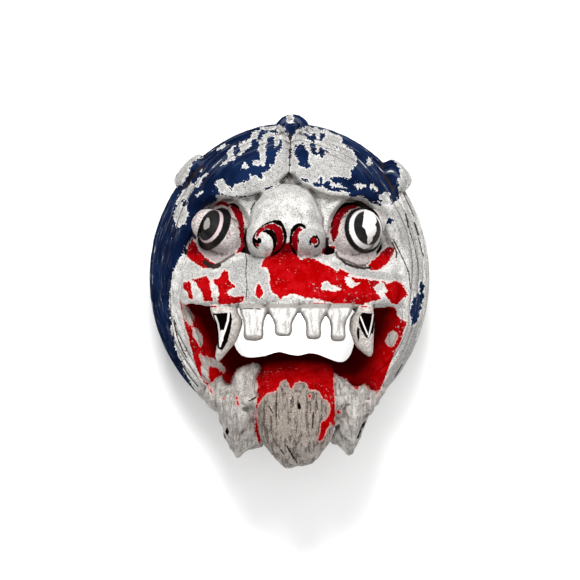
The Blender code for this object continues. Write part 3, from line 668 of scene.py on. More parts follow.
SCROLL_RED = [
    [(-20.4, 48), (-15.6, 51.2), (-10.8, 51.2), (-6.8, 49.6), (-5.2, 45.6), (-4.4, 40.8), (-5.2, 36),
     (-7.6, 32.4), (-11.6, 29.6), (-14, 27.2), (-11.6, 32), (-10, 36), (-9.6, 40), (-10.8, 44),
     (-13.2, 46.8), (-17.2, 47.6)],
    [(7.6, 49.6), (10, 49.2), (7.6, 47.2), (6, 43.2), (6.4, 37.6), (5.2, 33.6), (4, 36), (3.2, 40),
     (4, 45.6)],
    [(-27.1, 40.8), (-26, 44.4), (-23.6, 47.6), (-20, 50), (-16.4, 51.6), (-13.2, 52.4), (-10.8, 52),
     (-10, 49.6), (-14.8, 48.8), (-18, 47.6), (-21.2, 46), (-23.2, 44), (-24.4, 41.6), (-25.2, 39.2)],
    [(2, 34.4), (1.8, 40), (2.6, 44.4), (5.2, 47.2), (8.4, 48.4), (10.8, 48.4), (10, 46.8), (8, 45.2),
     (6.8, 42), (6.6, 37.6), (7, 32.8), (6.8, 29.6), (4.8, 30.4)],
    [(-26.8, 36.4), (-24, 36), (-23.6, 33.2), (-25.6, 33.6)],
    [(16.8, 39.6), (18.8, 41.6), (20.4, 40.4), (22, 40), (22.4, 36.8), (20.4, 34.8), (19.2, 36.8),
     (17.2, 36)],
]
MOUTH_RED = [
    (-87.6, -8.8), (-86, -16), (-83.6, -25.6), (-81.2, -34.4), (-78.8, -44), (-76.4, -53.6),
    (-74, -62.4), (-70.8, -69.6), (-65.2, -77.6), (-58.8, -86.4), (-46, -94.4), (-31.6, -91.2),
    (-28, -97.6), (-28.4, -112), (-24.4, -123.2), (8.4, -145.6), (28.4, -132), (37.2, -107.2),
    (40.4, -98.4), (44.4, -89.6), (56.4, -88), (70.8, -82.4), (74, -75.2), (77.2, -67.2), (80.4, -59.2),
    (83.6, -50.4), (87.6, -41.6), (90.8, -33.6), (93.2, -26), (88.8, -23.6), (86, -20.4), (84.8, -16.4),
    (80.4, -15.6), (75.6, -16.8), (66, -20.8), (-39.6, -17.6), (-58, -18.4), (-71.6, -15.2),
    (-78, -13.6),
]
RED_FOOT = 52.0
under_lip = np.minimum(relief - z - 4.0, depth_in(MOUTH_EDGE) + 3.0)
red = np.minimum(deepest(LIP_RED), -deepest(LIP_WORN))
red = np.maximum(red, deepest(LID_RED) + 0.5)
red = np.maximum(red, deepest(SCROLL_RED))
red = np.maximum(red, np.maximum(depth_in(MOUTH_RED), under_lip))
red = np.minimum(red, z - RED_FOOT)
keep("red", red)
# How far each point lies below the carved face; the mouth's red is darkened with it as painted shade.
keep("depth", relief - z)

BLACK = [
    [(-15.6, 25.2), (-14, 28.8), (-12.8, 33.6), (-12.8, 37.6), (-14, 40.8), (-16.4, 43.2),
     (-18.8, 44.8), (-21.6, 45.2), (-24, 43.2), (-24.8, 40.8), (-22.8, 40.8), (-21.6, 39.2),
     (-22, 36.8), (-23.6, 36), (-22.8, 33.6), (-24.4, 32), (-26.8, 33.2), (-28.8, 36), (-29.2, 39.2),
     (-28.4, 42.8), (-26, 46.4), (-22, 50), (-17.2, 53.2), (-11.6, 54.8), (-6.8, 54.4), (-4.4, 50.4),
     (-2.4, 46.4), (-1.8, 41.6), (-2.8, 36.8), (-5.2, 32.8), (-9.2, 29.2), (-13.2, 26.4)],
    [(6, 25.6), (2, 30.4), (0.1, 36), (0, 41.6), (0.8, 46.4), (2.8, 49.6), (5.6, 51.8), (9.2, 52.2),
     (12.4, 50.8), (13.4, 48), (10, 47.6), (8.4, 45.2), (7.4, 41.6), (7.4, 35.2), (6, 37.6),
     (5.2, 32.8)],
    [(15.6, 40), (18.8, 42.8), (20.4, 42), (21.2, 43.2), (23.6, 40), (24, 36.8), (22, 33.6),
     (19.6, 32.8), (18.8, 36), (16.4, 34.8), (15.2, 37.6)],
    [(32.4, 46.4), (32.8, 52.8), (34.8, 58.4), (38, 63.6), (41.2, 67.6), (44.4, 69.6), (50, 70),
     (54.8, 71.6), (59.6, 69.2), (64.4, 65.6), (67.6, 62.4), (70.8, 57.6), (70, 56), (66, 60),
     (61.2, 63.2), (56.4, 66), (51.6, 67.6), (46, 66.8), (41.2, 64.8), (37.2, 60.4), (34.8, 55.6),
     (34, 50.4)],
    [(-48.4, 68.8), (-45.2, 69.2), (-42, 68), (-39.6, 65.6), (-39.6, 63.2), (-42, 65.6), (-45.2, 66.8),
     (-47.6, 67.2)],
    [(-34.8, 49.6), (-33.2, 47.2), (-34, 40), (-32.4, 32), (-30, 27.2), (-34.8, 28.8), (-38.8, 29.6),
     (-35.6, 34.4), (-36.4, 40.8)],
    [(28.4, 40.8), (30.8, 41.6), (30.8, 35.2), (32.4, 33.6), (35.6, 32.8), (35.6, 28.8), (30, 27.2),
     (26.8, 27.6), (26.8, 30.4), (28.4, 32.8)],
    [(-60.4, -18.4), (-46, -17.6), (-45, -22.4), (-46.2, -32), (-48.8, -40.8), (-52.4, -47.6),
     (-56.4, -45.6), (-57.8, -36), (-58.8, -25.6)],
    [(54.8, -20), (57.2, -17.6), (66, -18.4), (67.2, -22.4), (66.6, -28.8), (65.8, -35.2),
     (64.4, -33.6), (62.4, -38), (60, -37.2), (56.4, -32), (54.2, -24.8)],
    [(52.8, -28.8), (54.8, -30.4), (55, -37.6), (54, -40.8), (52.8, -36)],
    [(70.8, 33.6), (73.2, 37.6), (73.6, 33.6), (71.6, 30.4), (69.2, 28.4), (68.4, 29.6)],
    [(-84, 32), (-82, 33.2), (-80.8, 30.4), (-81.6, 27.6), (-83.6, 28)],
    [(-47.6, -112), (-49.2, -107.2), (-50.8, -112), (-49.2, -115.2)],
    [(61.2, -100.8), (60.4, -104.8), (57.2, -111.2), (54.8, -117.6), (52.8, -117.6), (55.2, -111.2),
     (58, -104.8)],
    [(8.4, -88), (9.2, -93.6), (6.8, -93.6), (6, -88.8)],
]
keep("black", np.minimum(deepest(BLACK), -deepest(SCROLL_RED)))

EYEBALLS = [
    [(-66.8, 66.4), (-62, 67.6), (-56.4, 67.2), (-50.8, 66.4), (-46, 64), (-42.8, 59.2), (-40.4, 52.8),
     (-39.6, 46.4), (-38.4, 40), (-37.2, 35.2), (-39.6, 32), (-43.6, 29.2), (-48.4, 26.4),
     (-53.2, 23.2), (-57.2, 20.8), (-62.8, 22.8), (-66.8, 25.2), (-70.8, 30.4), (-73.2, 35.2),
     (-74.4, 41.6), (-73.6, 48.8), (-72.4, 56), (-70, 62.4)],
    [(41.2, 59.2), (46, 63.2), (51.6, 65.6), (57.2, 66.8), (62.8, 64.8), (67.6, 61.6), (71.6, 56),
     (73.2, 49.6), (73.2, 40), (71.6, 32.8), (68.4, 27.2), (64.4, 23.2), (59.6, 20.4), (54, 20),
     (48.4, 22.4), (42.8, 24.8), (38.8, 26.4), (36.4, 32), (36.4, 37.6), (38, 44), (38.8, 50.4)],
]
PUPIL_WORN = [
    [(58.8, 62.4), (63.6, 63.2), (65.6, 61.6), (67.6, 57.6), (68.8, 54.4), (67.2, 51.2), (68.4, 49.6),
     (68.4, 46.4), (67.2, 43.2), (65.6, 41.6), (65.2, 38.4), (64, 37.6), (63.2, 36), (61.6, 36),
     (61.2, 39.2), (61.6, 41.6), (60.4, 44.8), (59.6, 48), (57.2, 50), (58, 54.4), (58.4, 58.4)],
    [(-64.4, 57.6), (-63.2, 56.8), (-62.4, 52.8), (-63.2, 48.4), (-64.4, 48.8), (-65.6, 47.6),
     (-67.2, 47.2), (-67.8, 50.4), (-66.8, 53.6), (-65.6, 56)],
]
on_ball = deepest(EYEBALLS)
for centre, radii, axis in (LEFT_EYEBALL, RIGHT_EYEBALL):
    turned = np.array(Vector(axis).to_track_quat("Z", "Y").to_matrix())
    away = np.abs(((points - centre) @ turned) / radii)
    away = (away**BARREL).sum(1) ** (1 / BARREL)
    on_ball = np.maximum(on_ball, np.minimum((1.06 - away) * 15.0, z - relief))
keep("eyeball", on_ball)
ball_x, ball_y, ball_z = 51.5, 44, 112
LEAN_OUT, LEAN_UP = 0.74, 0.187
keep("limb", z - ball_z - LEAN_OUT * (np.abs(x) - ball_x) - LEAN_UP * (y - ball_y))
keep("pupil_worn", deepest(PUPIL_WORN))

BARE = [
    [(-26, -95.2), (-23.6, -89.6), (-20.4, -84.8), (-17.2, -82.4), (-13.2, -80.8), (-9.2, -79.6),
     (-7.6, -76.8), (-6.8, -73.6), (-4.4, -71.6), (-2.4, -71.2), (-1.2, -74.4), (0, -78), (2, -78.4),
     (3.6, -76), (5.2, -74), (8.4, -72.8), (11.6, -73.2), (13.6, -75.2), (14.4, -77.6), (16.4, -79.6),
     (19.6, -79.2), (22.4, -80), (24.4, -82.4), (25.6, -85.6), (28.4, -86.8), (30.8, -89.6),
     (31.2, -93.6), (30, -98.4), (27.6, -101.6), (25.2, -102), (24.4, -104.8), (23.6, -111.2),
     (21.6, -116), (22.8, -119.6), (25.2, -119.2), (27.6, -116.4), (29.2, -112), (30.8, -108),
     (32.4, -104.8), (33.2, -107.2), (37.2, -106.4), (44.4, -124), (28.4, -140), (8.4, -152),
     (-7.6, -152), (-22, -129.6), (-27.6, -125.6), (-24.4, -123.2), (-22, -120), (-23.6, -112)],
    [(-74.8, -81.6), (-67.6, -78.4), (-63.6, -74.4), (-60.4, -73.6), (-58, -70.4), (-54, -68.4),
     (-52.4, -72), (-48.4, -75.6), (-46, -75.2), (-44.4, -69.6), (-42.8, -64.8), (-39.6, -62.4),
     (-35.6, -60.4), (-31.6, -60.4), (-28.4, -57.6), (-26, -59.2), (-23.2, -61.2), (-24.4, -65.6),
     (-27.2, -67.2), (-26, -75.2), (-25.6, -84), (-26.8, -89.6), (-27.6, -97.6), (-27.6, -112),
     (-24.4, -123.2), (-22, -126.4), (-39.6, -140), (-59.6, -120), (-71.6, -96)],
    [(35.6, -66), (37.2, -67.2), (40.4, -69.6), (45.2, -72.4), (48.4, -75.6), (50.8, -78), (54, -79.6),
     (56, -76.8), (59.6, -75.6), (62, -77.6), (63.6, -80), (68.4, -80.8), (75.6, -80), (82, -81.6),
     (68.4, -97.6), (66, -116.8), (50, -136), (38.8, -132), (31.6, -120.8), (36.4, -108), (36.4, -88),
     (35.6, -76)],
    [(-85.2, -10.4), (-82.8, -12.8), (-80.4, -15.2), (-78, -18.4), (-76.4, -22.4), (-77.2, -25.6),
     (-78, -28), (-80.4, -25.6), (-82.8, -23.2), (-84.4, -17.6)],
    [(-76.4, -30.4), (-74, -30.4), (-71.6, -32.8), (-70.8, -35.2), (-69.2, -40), (-70, -44.8),
     (-71.6, -44), (-73.2, -40), (-75.6, -37.6)],
    [(-70.8, -51.2), (-67.6, -53.6), (-64.4, -54), (-60.4, -54.8), (-56.4, -57.6), (-50.8, -62.4),
     (-51.6, -64), (-54.8, -63.2), (-58.8, -60.8), (-63.6, -59.6), (-64.8, -62.4), (-64.8, -68.8),
     (-63.6, -73.6), (-66.8, -72.8), (-69.2, -69.6), (-69.2, -60.8), (-70, -56)],
    [(76.4, -40.8), (78.8, -35.6), (82, -32.4), (84.8, -34.4), (85.2, -38.4), (83.2, -42.4),
     (81.2, -45.2), (78, -43.6)],
]
BARE_RED = [
    [(-65.6, -76.8), (-63.6, -75.2), (-61.2, -79.2), (-59.2, -84), (-62.8, -81.6)],
    [(-54.4, -85.6), (-51.6, -84), (-50, -85.6), (-51.6, -87.2), (-54, -86.8)],
    [(-42.8, -83.2), (-41.2, -82.4), (-40, -87.2), (-38.8, -91.2), (-40.8, -92), (-42.4, -87.2)],
    [(14, -82.4), (17.2, -81.6), (16.4, -85.6), (15.2, -86.8)],
    [(60, -86.8), (64.4, -86), (63.6, -88), (60.4, -88.4)],
    [(67.6, -83.2), (70.8, -81.6), (70, -84.8), (68.4, -84.8)],
    [(37.2, -94.4), (41.2, -94.8), (41.2, -97.6), (38, -98.4), (36.8, -96.8)],
]
bare = np.minimum(deepest(BARE), -deepest(BARE_RED))
below_chin = np.minimum(-94 - y, -depth_in(MOUTH_RED))
keep("bare", np.maximum(bare, below_chin))
keep("tongue", depth_in(curved(TONGUE)))

teeth_x = [tooth[0] for tooth in TEETH]
levels = [lip_level(v) for v in (LEFT_FANG_MIDDLE[0], *teeth_x, RIGHT_FANG_MIDDLE[0])]
tooth_level = np.interp(x, [-61, *teeth_x, 67], levels)
on_teeth = np.minimum(deepest(tooth_outlines) + 2.0, z - tooth_level + 20)
on_fangs = np.minimum(deepest([curved(LEFT_FANG), curved(RIGHT_FANG)]) + 2.0, z - tooth_level + 21)
keep("tooth", np.minimum(on_teeth, -10.5 - y))
keep("fang", np.minimum(on_fangs, -13.5 - y))
flat = from_middle(x, y, SIDE_WALL)
hollow = np.minimum((1.05 - flat) * 110, hollow_roof(x, y) + 1.2 - z)
keep("hollow", np.maximum(hollow, 0.4 - z))

ROUNDINGS = 6
ends = np.empty(len(mask.data.edges) * 2, np.int32)
mask.data.edges.foreach_get("vertices", ends)
first, second = ends.reshape(-1, 2).T
count = np.bincount(ends, minlength=len(points))
rounded = points.copy()
for _ in range(ROUNDINGS):
    both = sum(
        np.stack([np.bincount(here, rounded[there, k], len(points)) for k in range(3)], 1)
        for here, there in ((first, second), (second, first))
    )
    rounded = both / count[:, None]
# How hollow the surface lies, for the grime and painted shade in the creases.
keep("cavity", ((rounded - points) * read(mask.data, "normal")).sum(1))
low, high = read(mask.data).min(0), read(mask.data).max(0)
shift = np.array([(low[0] + high[0]) / 2, (low[1] + high[1]) / 2, 0.0])
MILLIMETRE = 0.001
write(mask.data, (read(mask.data) - shift) * MILLIMETRE)
mask.data.shade_smooth()
mask.data.set_sharp_from_angle(angle=math.radians(60))
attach(mask, "root")
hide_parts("mask")

# Old paint
# Distemper over a pale ground, brushed on in flat colours: chipped and frayed at every edge,
# darkened in the grooves by grime and painted shade, dull where the wood is bare and slightly glossy
# where paint is left.
paint = bpy.data.materials.new("old_paint")
paint.use_nodes = True
tree = paint.node_tree
skin = tree.nodes["Principled BSDF"]


def node(kind, inputs, out=0, **settings):
    made = tree.nodes.new("ShaderNode" + kind)
    for name, value in settings.items():
        setattr(made, name, value)
    for slot, value in inputs.items():
        if isinstance(value, bpy.types.NodeSocket):
            tree.links.new(value, made.inputs[slot])
        else:
            made.inputs[slot].default_value = value
    return made.outputs[out]


def calc(operation, first, second=0.0):
    return node("Math", {0: first, 1: second}, operation=operation)


def times(first, second):
    return calc("MULTIPLY", first, second)


def most(*values):
    found = values[0]
    for value in values[1:]:
        found = calc("MAXIMUM", found, value)
    return found


def ramp(value, low, high, start=0.0, end=1.0):
    slots = {0: value, 1: low, 2: high, 3: start, 4: end}
    return node("MapRange", slots, interpolation_type="SMOOTHSTEP")


def colour(red, green, blue):
    """A colour picked on screen, as the light it reflects."""
    return tuple(0.7 * (v / 255) ** 2.25 for v in (red, green, blue)) + (1.0,)


def mix(share, first, second):
    return node("Mix", {0: share, 6: first, 7: second}, out=2, data_type="RGBA")


def flecked(tone, pattern, low, high, strength, fleck):
    """A tone with flecks of another, where a pattern rises from low to high."""
    return mix(ramp(pattern, low, high, 0.0, strength), tone, fleck)


def layer(name):
    return node("Attribute", {}, out=2, attribute_name=name)


object_place = node("TexCoord", {}, out=3)
place = node(
    "VectorMath",
    {0: object_place, 1: (1 / MILLIMETRE,) * 3, 2: (shift[0], shift[1], 0)},
    operation="MULTIPLY_ADD",
)


def cloud(size, detail=3.0, stretch=(1, 1, 1), at=place):
    """Random patches of the given size in millimetres, from 0 to 1 round 0.5."""
    where = node("VectorMath", {0: at, 1: tuple(s / size for s in stretch)}, operation="MULTIPLY")
    return node("TexNoise", {"Vector": where, "Scale": 1.0, "Detail": detail, "Roughness": 0.6})


def share_along(place, direction):
    return node("VectorMath", {0: place, 1: direction}, out=1, operation="DOT_PRODUCT")


def ring(centre, radii, lean):
    """Distance from a leaning ellipse's middle, 1 on its line."""
    offset = node("VectorMath", {0: place, 1: (*centre, 0)}, operation="SUBTRACT")
    cosine, sine = math.cos(math.radians(lean)), math.sin(math.radians(lean))
    across = share_along(offset, (cosine / radii[0], -sine / radii[0], 0))
    upward = share_along(offset, (sine / radii[1], cosine / radii[1], 0))
    return calc("SQRT", calc("ADD", times(across, across), times(upward, upward)))


def frayed(depth, fray=1.0):
    """A layer's depth with a torn edge."""
    for texture, reach_out in ((blots, 7.0), (specks, 4.5), (dust, 2.0)):
        depth = calc("ADD", depth, times(calc("SUBTRACT", texture, 0.5), reach_out * fray))
    return depth


def stroke(drawn, points, width):
    """Adds a thin line through the given points to the lines already drawn."""
    for start, end in zip(points, points[1:]):
        run = Vector((end[0] - start[0], end[1] - start[1], 0))
        offset = node("VectorMath", {0: flat_place, 1: (*start, 0)}, operation="SUBTRACT")
        along = calc("MAXIMUM", share_along(offset, run / run.length_squared), 0.0)
        along = calc("MINIMUM", along, 1.0)
        nearest = node("VectorMath", {0: tuple(run), "Scale": along}, operation="SCALE")
        gap = node("VectorMath", {0: offset, 1: nearest}, out=1, operation="DISTANCE")
        drawn = calc("MAXIMUM", drawn, calc("SUBTRACT", width, gap))
    return drawn


blots, specks, dust = cloud(8.0), cloud(2.0), cloud(0.9, 2.0)
drifts = cloud(26.0, 4.0)
height = share_along(place, (0, 0, 1))
up_face = share_along(place, (0, 1, 0))

surface = mix(ramp(blots, 0.36, 0.6), colour(196, 195, 191), colour(240, 239, 235))
surface = flecked(surface, drifts, 0.46, 0.6, 0.6, colour(190, 188, 184))
greyed = most(ramp(frayed(layer("grey"), 0.5), -1.0, 1.0), ramp(up_face, 74, 92, 0.0, 0.85))
surface = mix(times(greyed, 0.75), surface, colour(171, 170, 168))
surface = flecked(surface, specks, 0.54, 0.68, 0.7, colour(138, 135, 131))
surface = flecked(surface, dust, 0.55, 0.64, 0.85, colour(84, 80, 77))
surface = flecked(surface, dust, 0.4, 0.3, 0.7, colour(250, 249, 246))
bands = calc("ABSOLUTE", calc("SINE", times(layer("strand"), math.pi / STRAND_WIDTH)))
strand_place = node("CombineXYZ", {0: layer("strand"), 1: times(up_face, 0.12), 2: 0.0})
streaks = cloud(2.2, 3.0, at=strand_place)
hair_share = times(layer("hair"), 0.1)
# Painted shade darkens the grooves between the hair strands, on the ground and on the navy.
strand_groove_shade = times(ramp(bands, 0.3, 0.02), hair_share)
surface = mix(times(strand_groove_shade, ramp(streaks, 0.4, 0.62)), surface, colour(70, 68, 70))
surface = mix(times(hair_share, ramp(streaks, 0.5, 0.66, 0.0, 0.6)), surface, colour(140, 137, 134))

navy_depth = frayed(layer("navy"))
scratches = most(ramp(specks, 0.7, 0.75), times(hair_share, ramp(streaks, 0.66, 0.7)))
navy = times(ramp(navy_depth, -0.15, 0.15), calc("SUBTRACT", 1.0, scratches))
navy_rim = times(ramp(navy_depth, -1.3, -0.7), calc("SUBTRACT", 1.0, navy))
navy_tone = mix(ramp(drifts, 0.38, 0.62), colour(20, 31, 56), colour(29, 45, 77))
navy_tone = mix(times(hair_share, ramp(height, 75, 45, 0.0, 0.5)), navy_tone, colour(66, 70, 84))
navy_tone = mix(times(hair_share, ramp(streaks, 0.5, 0.68, 0.0, 0.8)), navy_tone, colour(84, 92, 112))
# Painted shade in the strand grooves on the navy.
navy_tone = mix(times(strand_groove_shade, 0.85), navy_tone, colour(10, 14, 26))
surface = mix(times(navy_rim, 0.7), surface, colour(236, 235, 234))
surface = mix(navy, surface, navy_tone)

ball_share = ramp(layer("eyeball"), -0.3, 0.5)
ball_tone = mix(ramp(specks, 0.4, 0.65), colour(232, 225, 223), colour(188, 176, 174))
ball_tone = flecked(ball_tone, blots, 0.54, 0.66, 0.5, colour(172, 122, 122))
ball_tone = flecked(ball_tone, dust, 0.53, 0.62, 0.8, colour(112, 96, 92))
# Painted shade: each eyeball greys towards its lower half.
ball_tone = flecked(ball_tone, up_face, 46, 26, 0.5, colour(150, 138, 134))
surface = mix(ball_share, surface, ball_tone)
# Painted shadow in the crease round each eyeball, darkest under it.
eyeball_crease_shade = times(ramp(frayed(layer("eyeball"), 0.15), -2.6, -1.4), ramp(layer("eyeball"), 0.4, -0.2))
surface = mix(times(eyeball_crease_shade, ramp(up_face, 42, 30, 0.15, 0.85)), surface, colour(70, 40, 38))

red_depth = frayed(layer("red"), 0.5)
red = ramp(red_depth, -0.15, 0.15)
red_rim = times(ramp(red_depth, -1.5, -0.6), calc("SUBTRACT", 1.0, red))
red_tone = mix(ramp(blots, 0.4, 0.62), colour(164, 6, 10), colour(182, 20, 26))
red_tone = flecked(red_tone, drifts, 0.5, 0.64, 0.6, colour(138, 6, 12))
red_tone = flecked(red_tone, up_face, 26, 31, 0.7, colour(120, 6, 26))
# Painted shade: the red darkens the deeper it lies below the carved face, down into the mouth.
red_tone = mix(ramp(layer("depth"), 4, 20), red_tone, colour(84, 2, 5))
fine_chips = ramp(dust, 0.76, 0.7)
flakes = most(ramp(specks, 0.66, 0.62), ramp(drifts, 0.54, 0.5), ramp(layer("depth"), 1, 4))
chips = calc("MINIMUM", fine_chips, flakes)
surface = mix(times(red_rim, 0.75), surface, colour(236, 214, 209))
surface = mix(times(red, chips), surface, red_tone)

bare_depth = frayed(layer("bare"), 0.45)
bare = ramp(bare_depth, -0.2, 0.2)
bare_rim = times(ramp(bare_depth, -1.1, -0.4), calc("SUBTRACT", 1.0, bare))
grain = cloud(2.4, 3.0, (1.0, 0.1, 0.5))
bare_tone = mix(ramp(blots, 0.36, 0.64), colour(166, 159, 153), colour(202, 198, 193))
on_tongue = times(ramp(layer("tongue"), -1.0, 2.0), ramp(up_face, -150, -106, 0.3, 1.0))
bare_tone = mix(times(on_tongue, 0.8), bare_tone, colour(150, 136, 125))
veins = times(ramp(grain, 0.5, 0.6), ramp(on_tongue, 0.0, 1.0, 0.35, 0.8))
bare_tone = mix(veins, bare_tone, colour(84, 72, 64))
bare_tone = flecked(bare_tone, specks, 0.56, 0.68, 0.6, colour(128, 122, 116))
bare_tone = flecked(bare_tone, dust, 0.57, 0.66, 0.7, colour(98, 92, 88))
bare_tone = flecked(bare_tone, dust, 0.42, 0.32, 0.6, colour(238, 235, 231))
surface = mix(times(bare_rim, 0.7), surface, colour(226, 190, 184))
surface = mix(bare, surface, bare_tone)

tooth = ramp(layer("tooth"), -0.2, 0.3)
# Painted shade greys each tooth towards its sides.
tooth_side_shade = ramp(frayed(layer("tooth"), 0.3), 4.6, 3.2)
tooth_tone = mix(tooth_side_shade, colour(240, 238, 235), colour(160, 155, 150))
tooth_grain = cloud(4.0, 3.0, (1, 0.25, 1))
tooth_tone = flecked(tooth_tone, tooth_grain, 0.46, 0.62, 0.8, colour(170, 165, 160))
tooth_foot = frayed(up_face, 0.3)
tooth_tone = flecked(tooth_tone, tooth_foot, -34.5, -36.5, 0.8, colour(158, 152, 146))
tooth_tone = flecked(tooth_tone, dust, 0.56, 0.66, 0.6, colour(120, 114, 110))
surface = mix(tooth, surface, tooth_tone)
fang = ramp(layer("fang"), -0.2, 0.3)
fang_tone = mix(ramp(specks, 0.42, 0.6), colour(214, 208, 203), colour(176, 168, 161))
surface = mix(fang, surface, fang_tone)

black = ramp(frayed(layer("black"), 0.14), -0.25, 0.25)
LINES_FADE, CRACKS_AND_SHADOWS_FADE = (84, 92), (52, 60)
raised = ramp(height, *LINES_FADE)
surface = mix(times(black, raised), surface, colour(16, 12, 12))

# Middle, radii and lean of each eye's black ring, white ring and pupil, then the two tones.
EYES = [
    (
        ((-59.6, 48.4), (10.9, 18.3), 30),
        ((-61.7, 50.4), (8.4, 14.1), 24),
        ((-63.1, 51.1), (7.1, 13.0), 24),
        colour(150, 145, 141),
        colour(212, 192, 194),
    ),
    (
        ((58.4, 47.2), (14.8, 18.2), -15),
        ((60.0, 47.8), (12.8, 16.0), -17),
        ((61.2, 48.8), (10.4, 13.6), -17),
        colour(236, 233, 230),
        colour(236, 233, 231),
    ),
]
facing = ramp(layer("limb"), -17.0, -13.0)
for black_ring, white_ring, pupil, worn_tone, white_tone in EYES:
    outer, white, inner = (ring(*shape) for shape in (black_ring, white_ring, pupil))
    wobble = times(calc("SUBTRACT", specks, 0.5), 0.12)
    on_ball = times(facing, ramp(layer("eyeball"), 0.2, 0.7))
    inked = ramp(calc("ADD", outer, wobble), 1.05, 0.99)
    surface = mix(times(on_ball, inked), surface, colour(14, 10, 10))
    chalked = ramp(calc("ADD", white, wobble), 1.03, 0.97)
    surface = mix(times(on_ball, chalked), surface, white_tone)
    pupil_tone = mix(ramp(drifts, 0.4, 0.6), colour(16, 13, 13), colour(40, 40, 39))
    pupil_tone = mix(ramp(frayed(layer("pupil_worn"), 0.12), -0.2, 0.2), pupil_tone, worn_tone)
    surface = mix(times(on_ball, ramp(inner, 1.04, 0.96)), surface, pupil_tone)

# Dark lines: cracks in the wood, and painted shadows in the creases under the two eyeballs.
CRACKS_AND_EYE_SHADOWS = [
    ([(0.8, 123.2), (0.8, 112), (0, 100), (-0.4, 91.2)], 0.5),
    ([(-0.4, 91.2), (-4.4, 85.6), (-10.8, 80.8)], 0.3),
    ([(-0.4, 91.2), (4.4, 85.6), (10.8, 80.8)], 0.3),
    ([(-34.8, 30.4), (-33.6, 22.4), (-34.4, 14.4), (-33.2, 4.8), (-34, -8)], 0.35),
    ([(-91.6, -24), (-90.8, -32), (-88.4, -40), (-85.2, -48), (-82, -53.6)], 0.55),
    ([(-86.8, -57.6), (-82.8, -64.8), (-78, -71.2), (-73.2, -76.8)], 0.5),
    ([(-94.8, 0), (-94, -24), (-91.6, -40), (-87.6, -52), (-82.8, -62.4)], 0.35),
    ([(82.4, 40.3), (89, 27.2), (94.8, 14), (96.2, 0.8)], 0.5),
    ([(81.7, 37.4), (85.2, 30.1), (84.9, 25.7)], 0.6),
    ([(90.4, 78.4), (96.2, 66.6), (99.2, 59.4)], 0.5),
    ([(92.6, 60.8), (94.8, 49.8)], 0.7),
    ([(99.9, 53.6), (102.8, 44)], 0.8),
    ([(102.8, 68), (107.3, 60.8), (108, 55)], 0.7),
    ([(95.6, 47.7), (99.9, 33), (102.2, 22.8), (102.8, 11.2)], 0.35),
    ([(102.8, 41.8), (106.8, 27.2)], 0.5),
    ([(-27.6, 68.8), (-30, 64.8), (-30.8, 60.8)], 0.55),
    ([(-31.6, -87.2), (-26.8, -84.8)], 0.6),
    ([(-54, -110.4), (-50.8, -116.8)], 0.7),
    ([(-16.4, -91.2), (-13.2, -96)], 0.6),
    ([(-10, -80.8), (-10, -99.2)], 0.4),
    ([(1.2, -86.4), (1.2, -96)], 0.4),
    ([(18.8, -96), (18, -108)], 0.6),
    ([(-2, -122.4), (3.6, -132.8)], 0.7),
    ([(-6.8, -125.6), (-4.4, -128.8)], 0.6),
    ([(-0.4, -124.8), (6, -136)], 0.5),
    ([(21.2, -87.2), (22, -93.6)], 0.5),
    # painted shadows under the left and the right eyeball
    ([(-66.8, 22), (-63.6, 19.6), (-59.6, 18.4), (-55.6, 19.6)], 2),
    ([(40, 24.4), (44.4, 20.8), (50.8, 18.4), (58, 17.1), (63.6, 18)], 1),
    ([(-38, -14.9), (-32.4, -14.4), (-28.4, -14.7)], 0.35),
    ([(-26.8, -14.4), (-22, -15.2)], 0.35),
    ([(90, -60), (87.6, -64), (84.4, -69.6)], 0.6),
    ([(-91.6, -24.5), (-90.2, -27), (-91.6, -28.6)], 0.4),
    ([(-87.7, -42.1), (-85.2, -47.2), (-82.2, -48.8), (-81.5, -45.4)], 0.35),
]
LINES_LEFT = [
    ([(-58.2, -20.4), (-55.9, -26.4), (-55, -32.8), (-54.3, -44)], 0.65),
    ([(-47.6, -18.4), (-48.2, -24), (-50.3, -30.8), (-52.8, -37.6), (-54, -42.4)], 0.75),
    ([(55.6, -20.8), (58.4, -28), (61.2, -34.8)], 0.5),
    ([(65.6, -19.2), (64.6, -25.6), (63, -32.8), (62, -36.8)], 0.55),
    ([(-52.7, -32.8), (-53.5, -39.2)], 1.5),
    ([(6.8, 26.4), (7, 35.2)], 0.35),
]
flat_place = node("VectorMath", {0: place, 1: (1, 1, 0)}, operation="MULTIPLY")
NO_LINE = -4.0
lines = NO_LINE
for points, width in LINES_LEFT:
    lines = stroke(lines, points, width)
surface = mix(times(raised, ramp(lines, -0.25, 0.15)), surface, colour(236, 232, 230))
lines = NO_LINE
for points, width in CRACKS_AND_EYE_SHADOWS:
    lines = stroke(lines, points, width)
# Cracks, and the painted shadows under the eyeballs, in one dark tone.
cracks_and_shadows = ramp(calc("ADD", lines, times(calc("SUBTRACT", specks, 0.5), 1.6)), -0.2, 0.3)
surface = mix(times(cracks_and_shadows, ramp(height, *CRACKS_AND_SHADOWS_FADE)), surface, colour(52, 42, 40))

wood = mix(ramp(grain, 0.4, 0.62), colour(150, 118, 84), colour(114, 84, 58))
wood = flecked(wood, drifts, 0.48, 0.66, 0.6, colour(92, 70, 52))
hollowed = ramp(layer("hollow"), -0.2, 0.3)
surface = mix(hollowed, surface, wood)

# Grime and painted shade darken the creases, except on the red.
grooves = ramp(frayed(layer("cavity"), 0.03), 0.12, 0.7, 0.0, 0.75)
grime_and_crease_shade = times(grooves, ramp(red_depth, 0.0, 1.0, 1.0, 0.0))
surface = mix(grime_and_crease_shade, surface, colour(58, 46, 43))
tree.links.new(surface, skin.inputs["Base Color"])

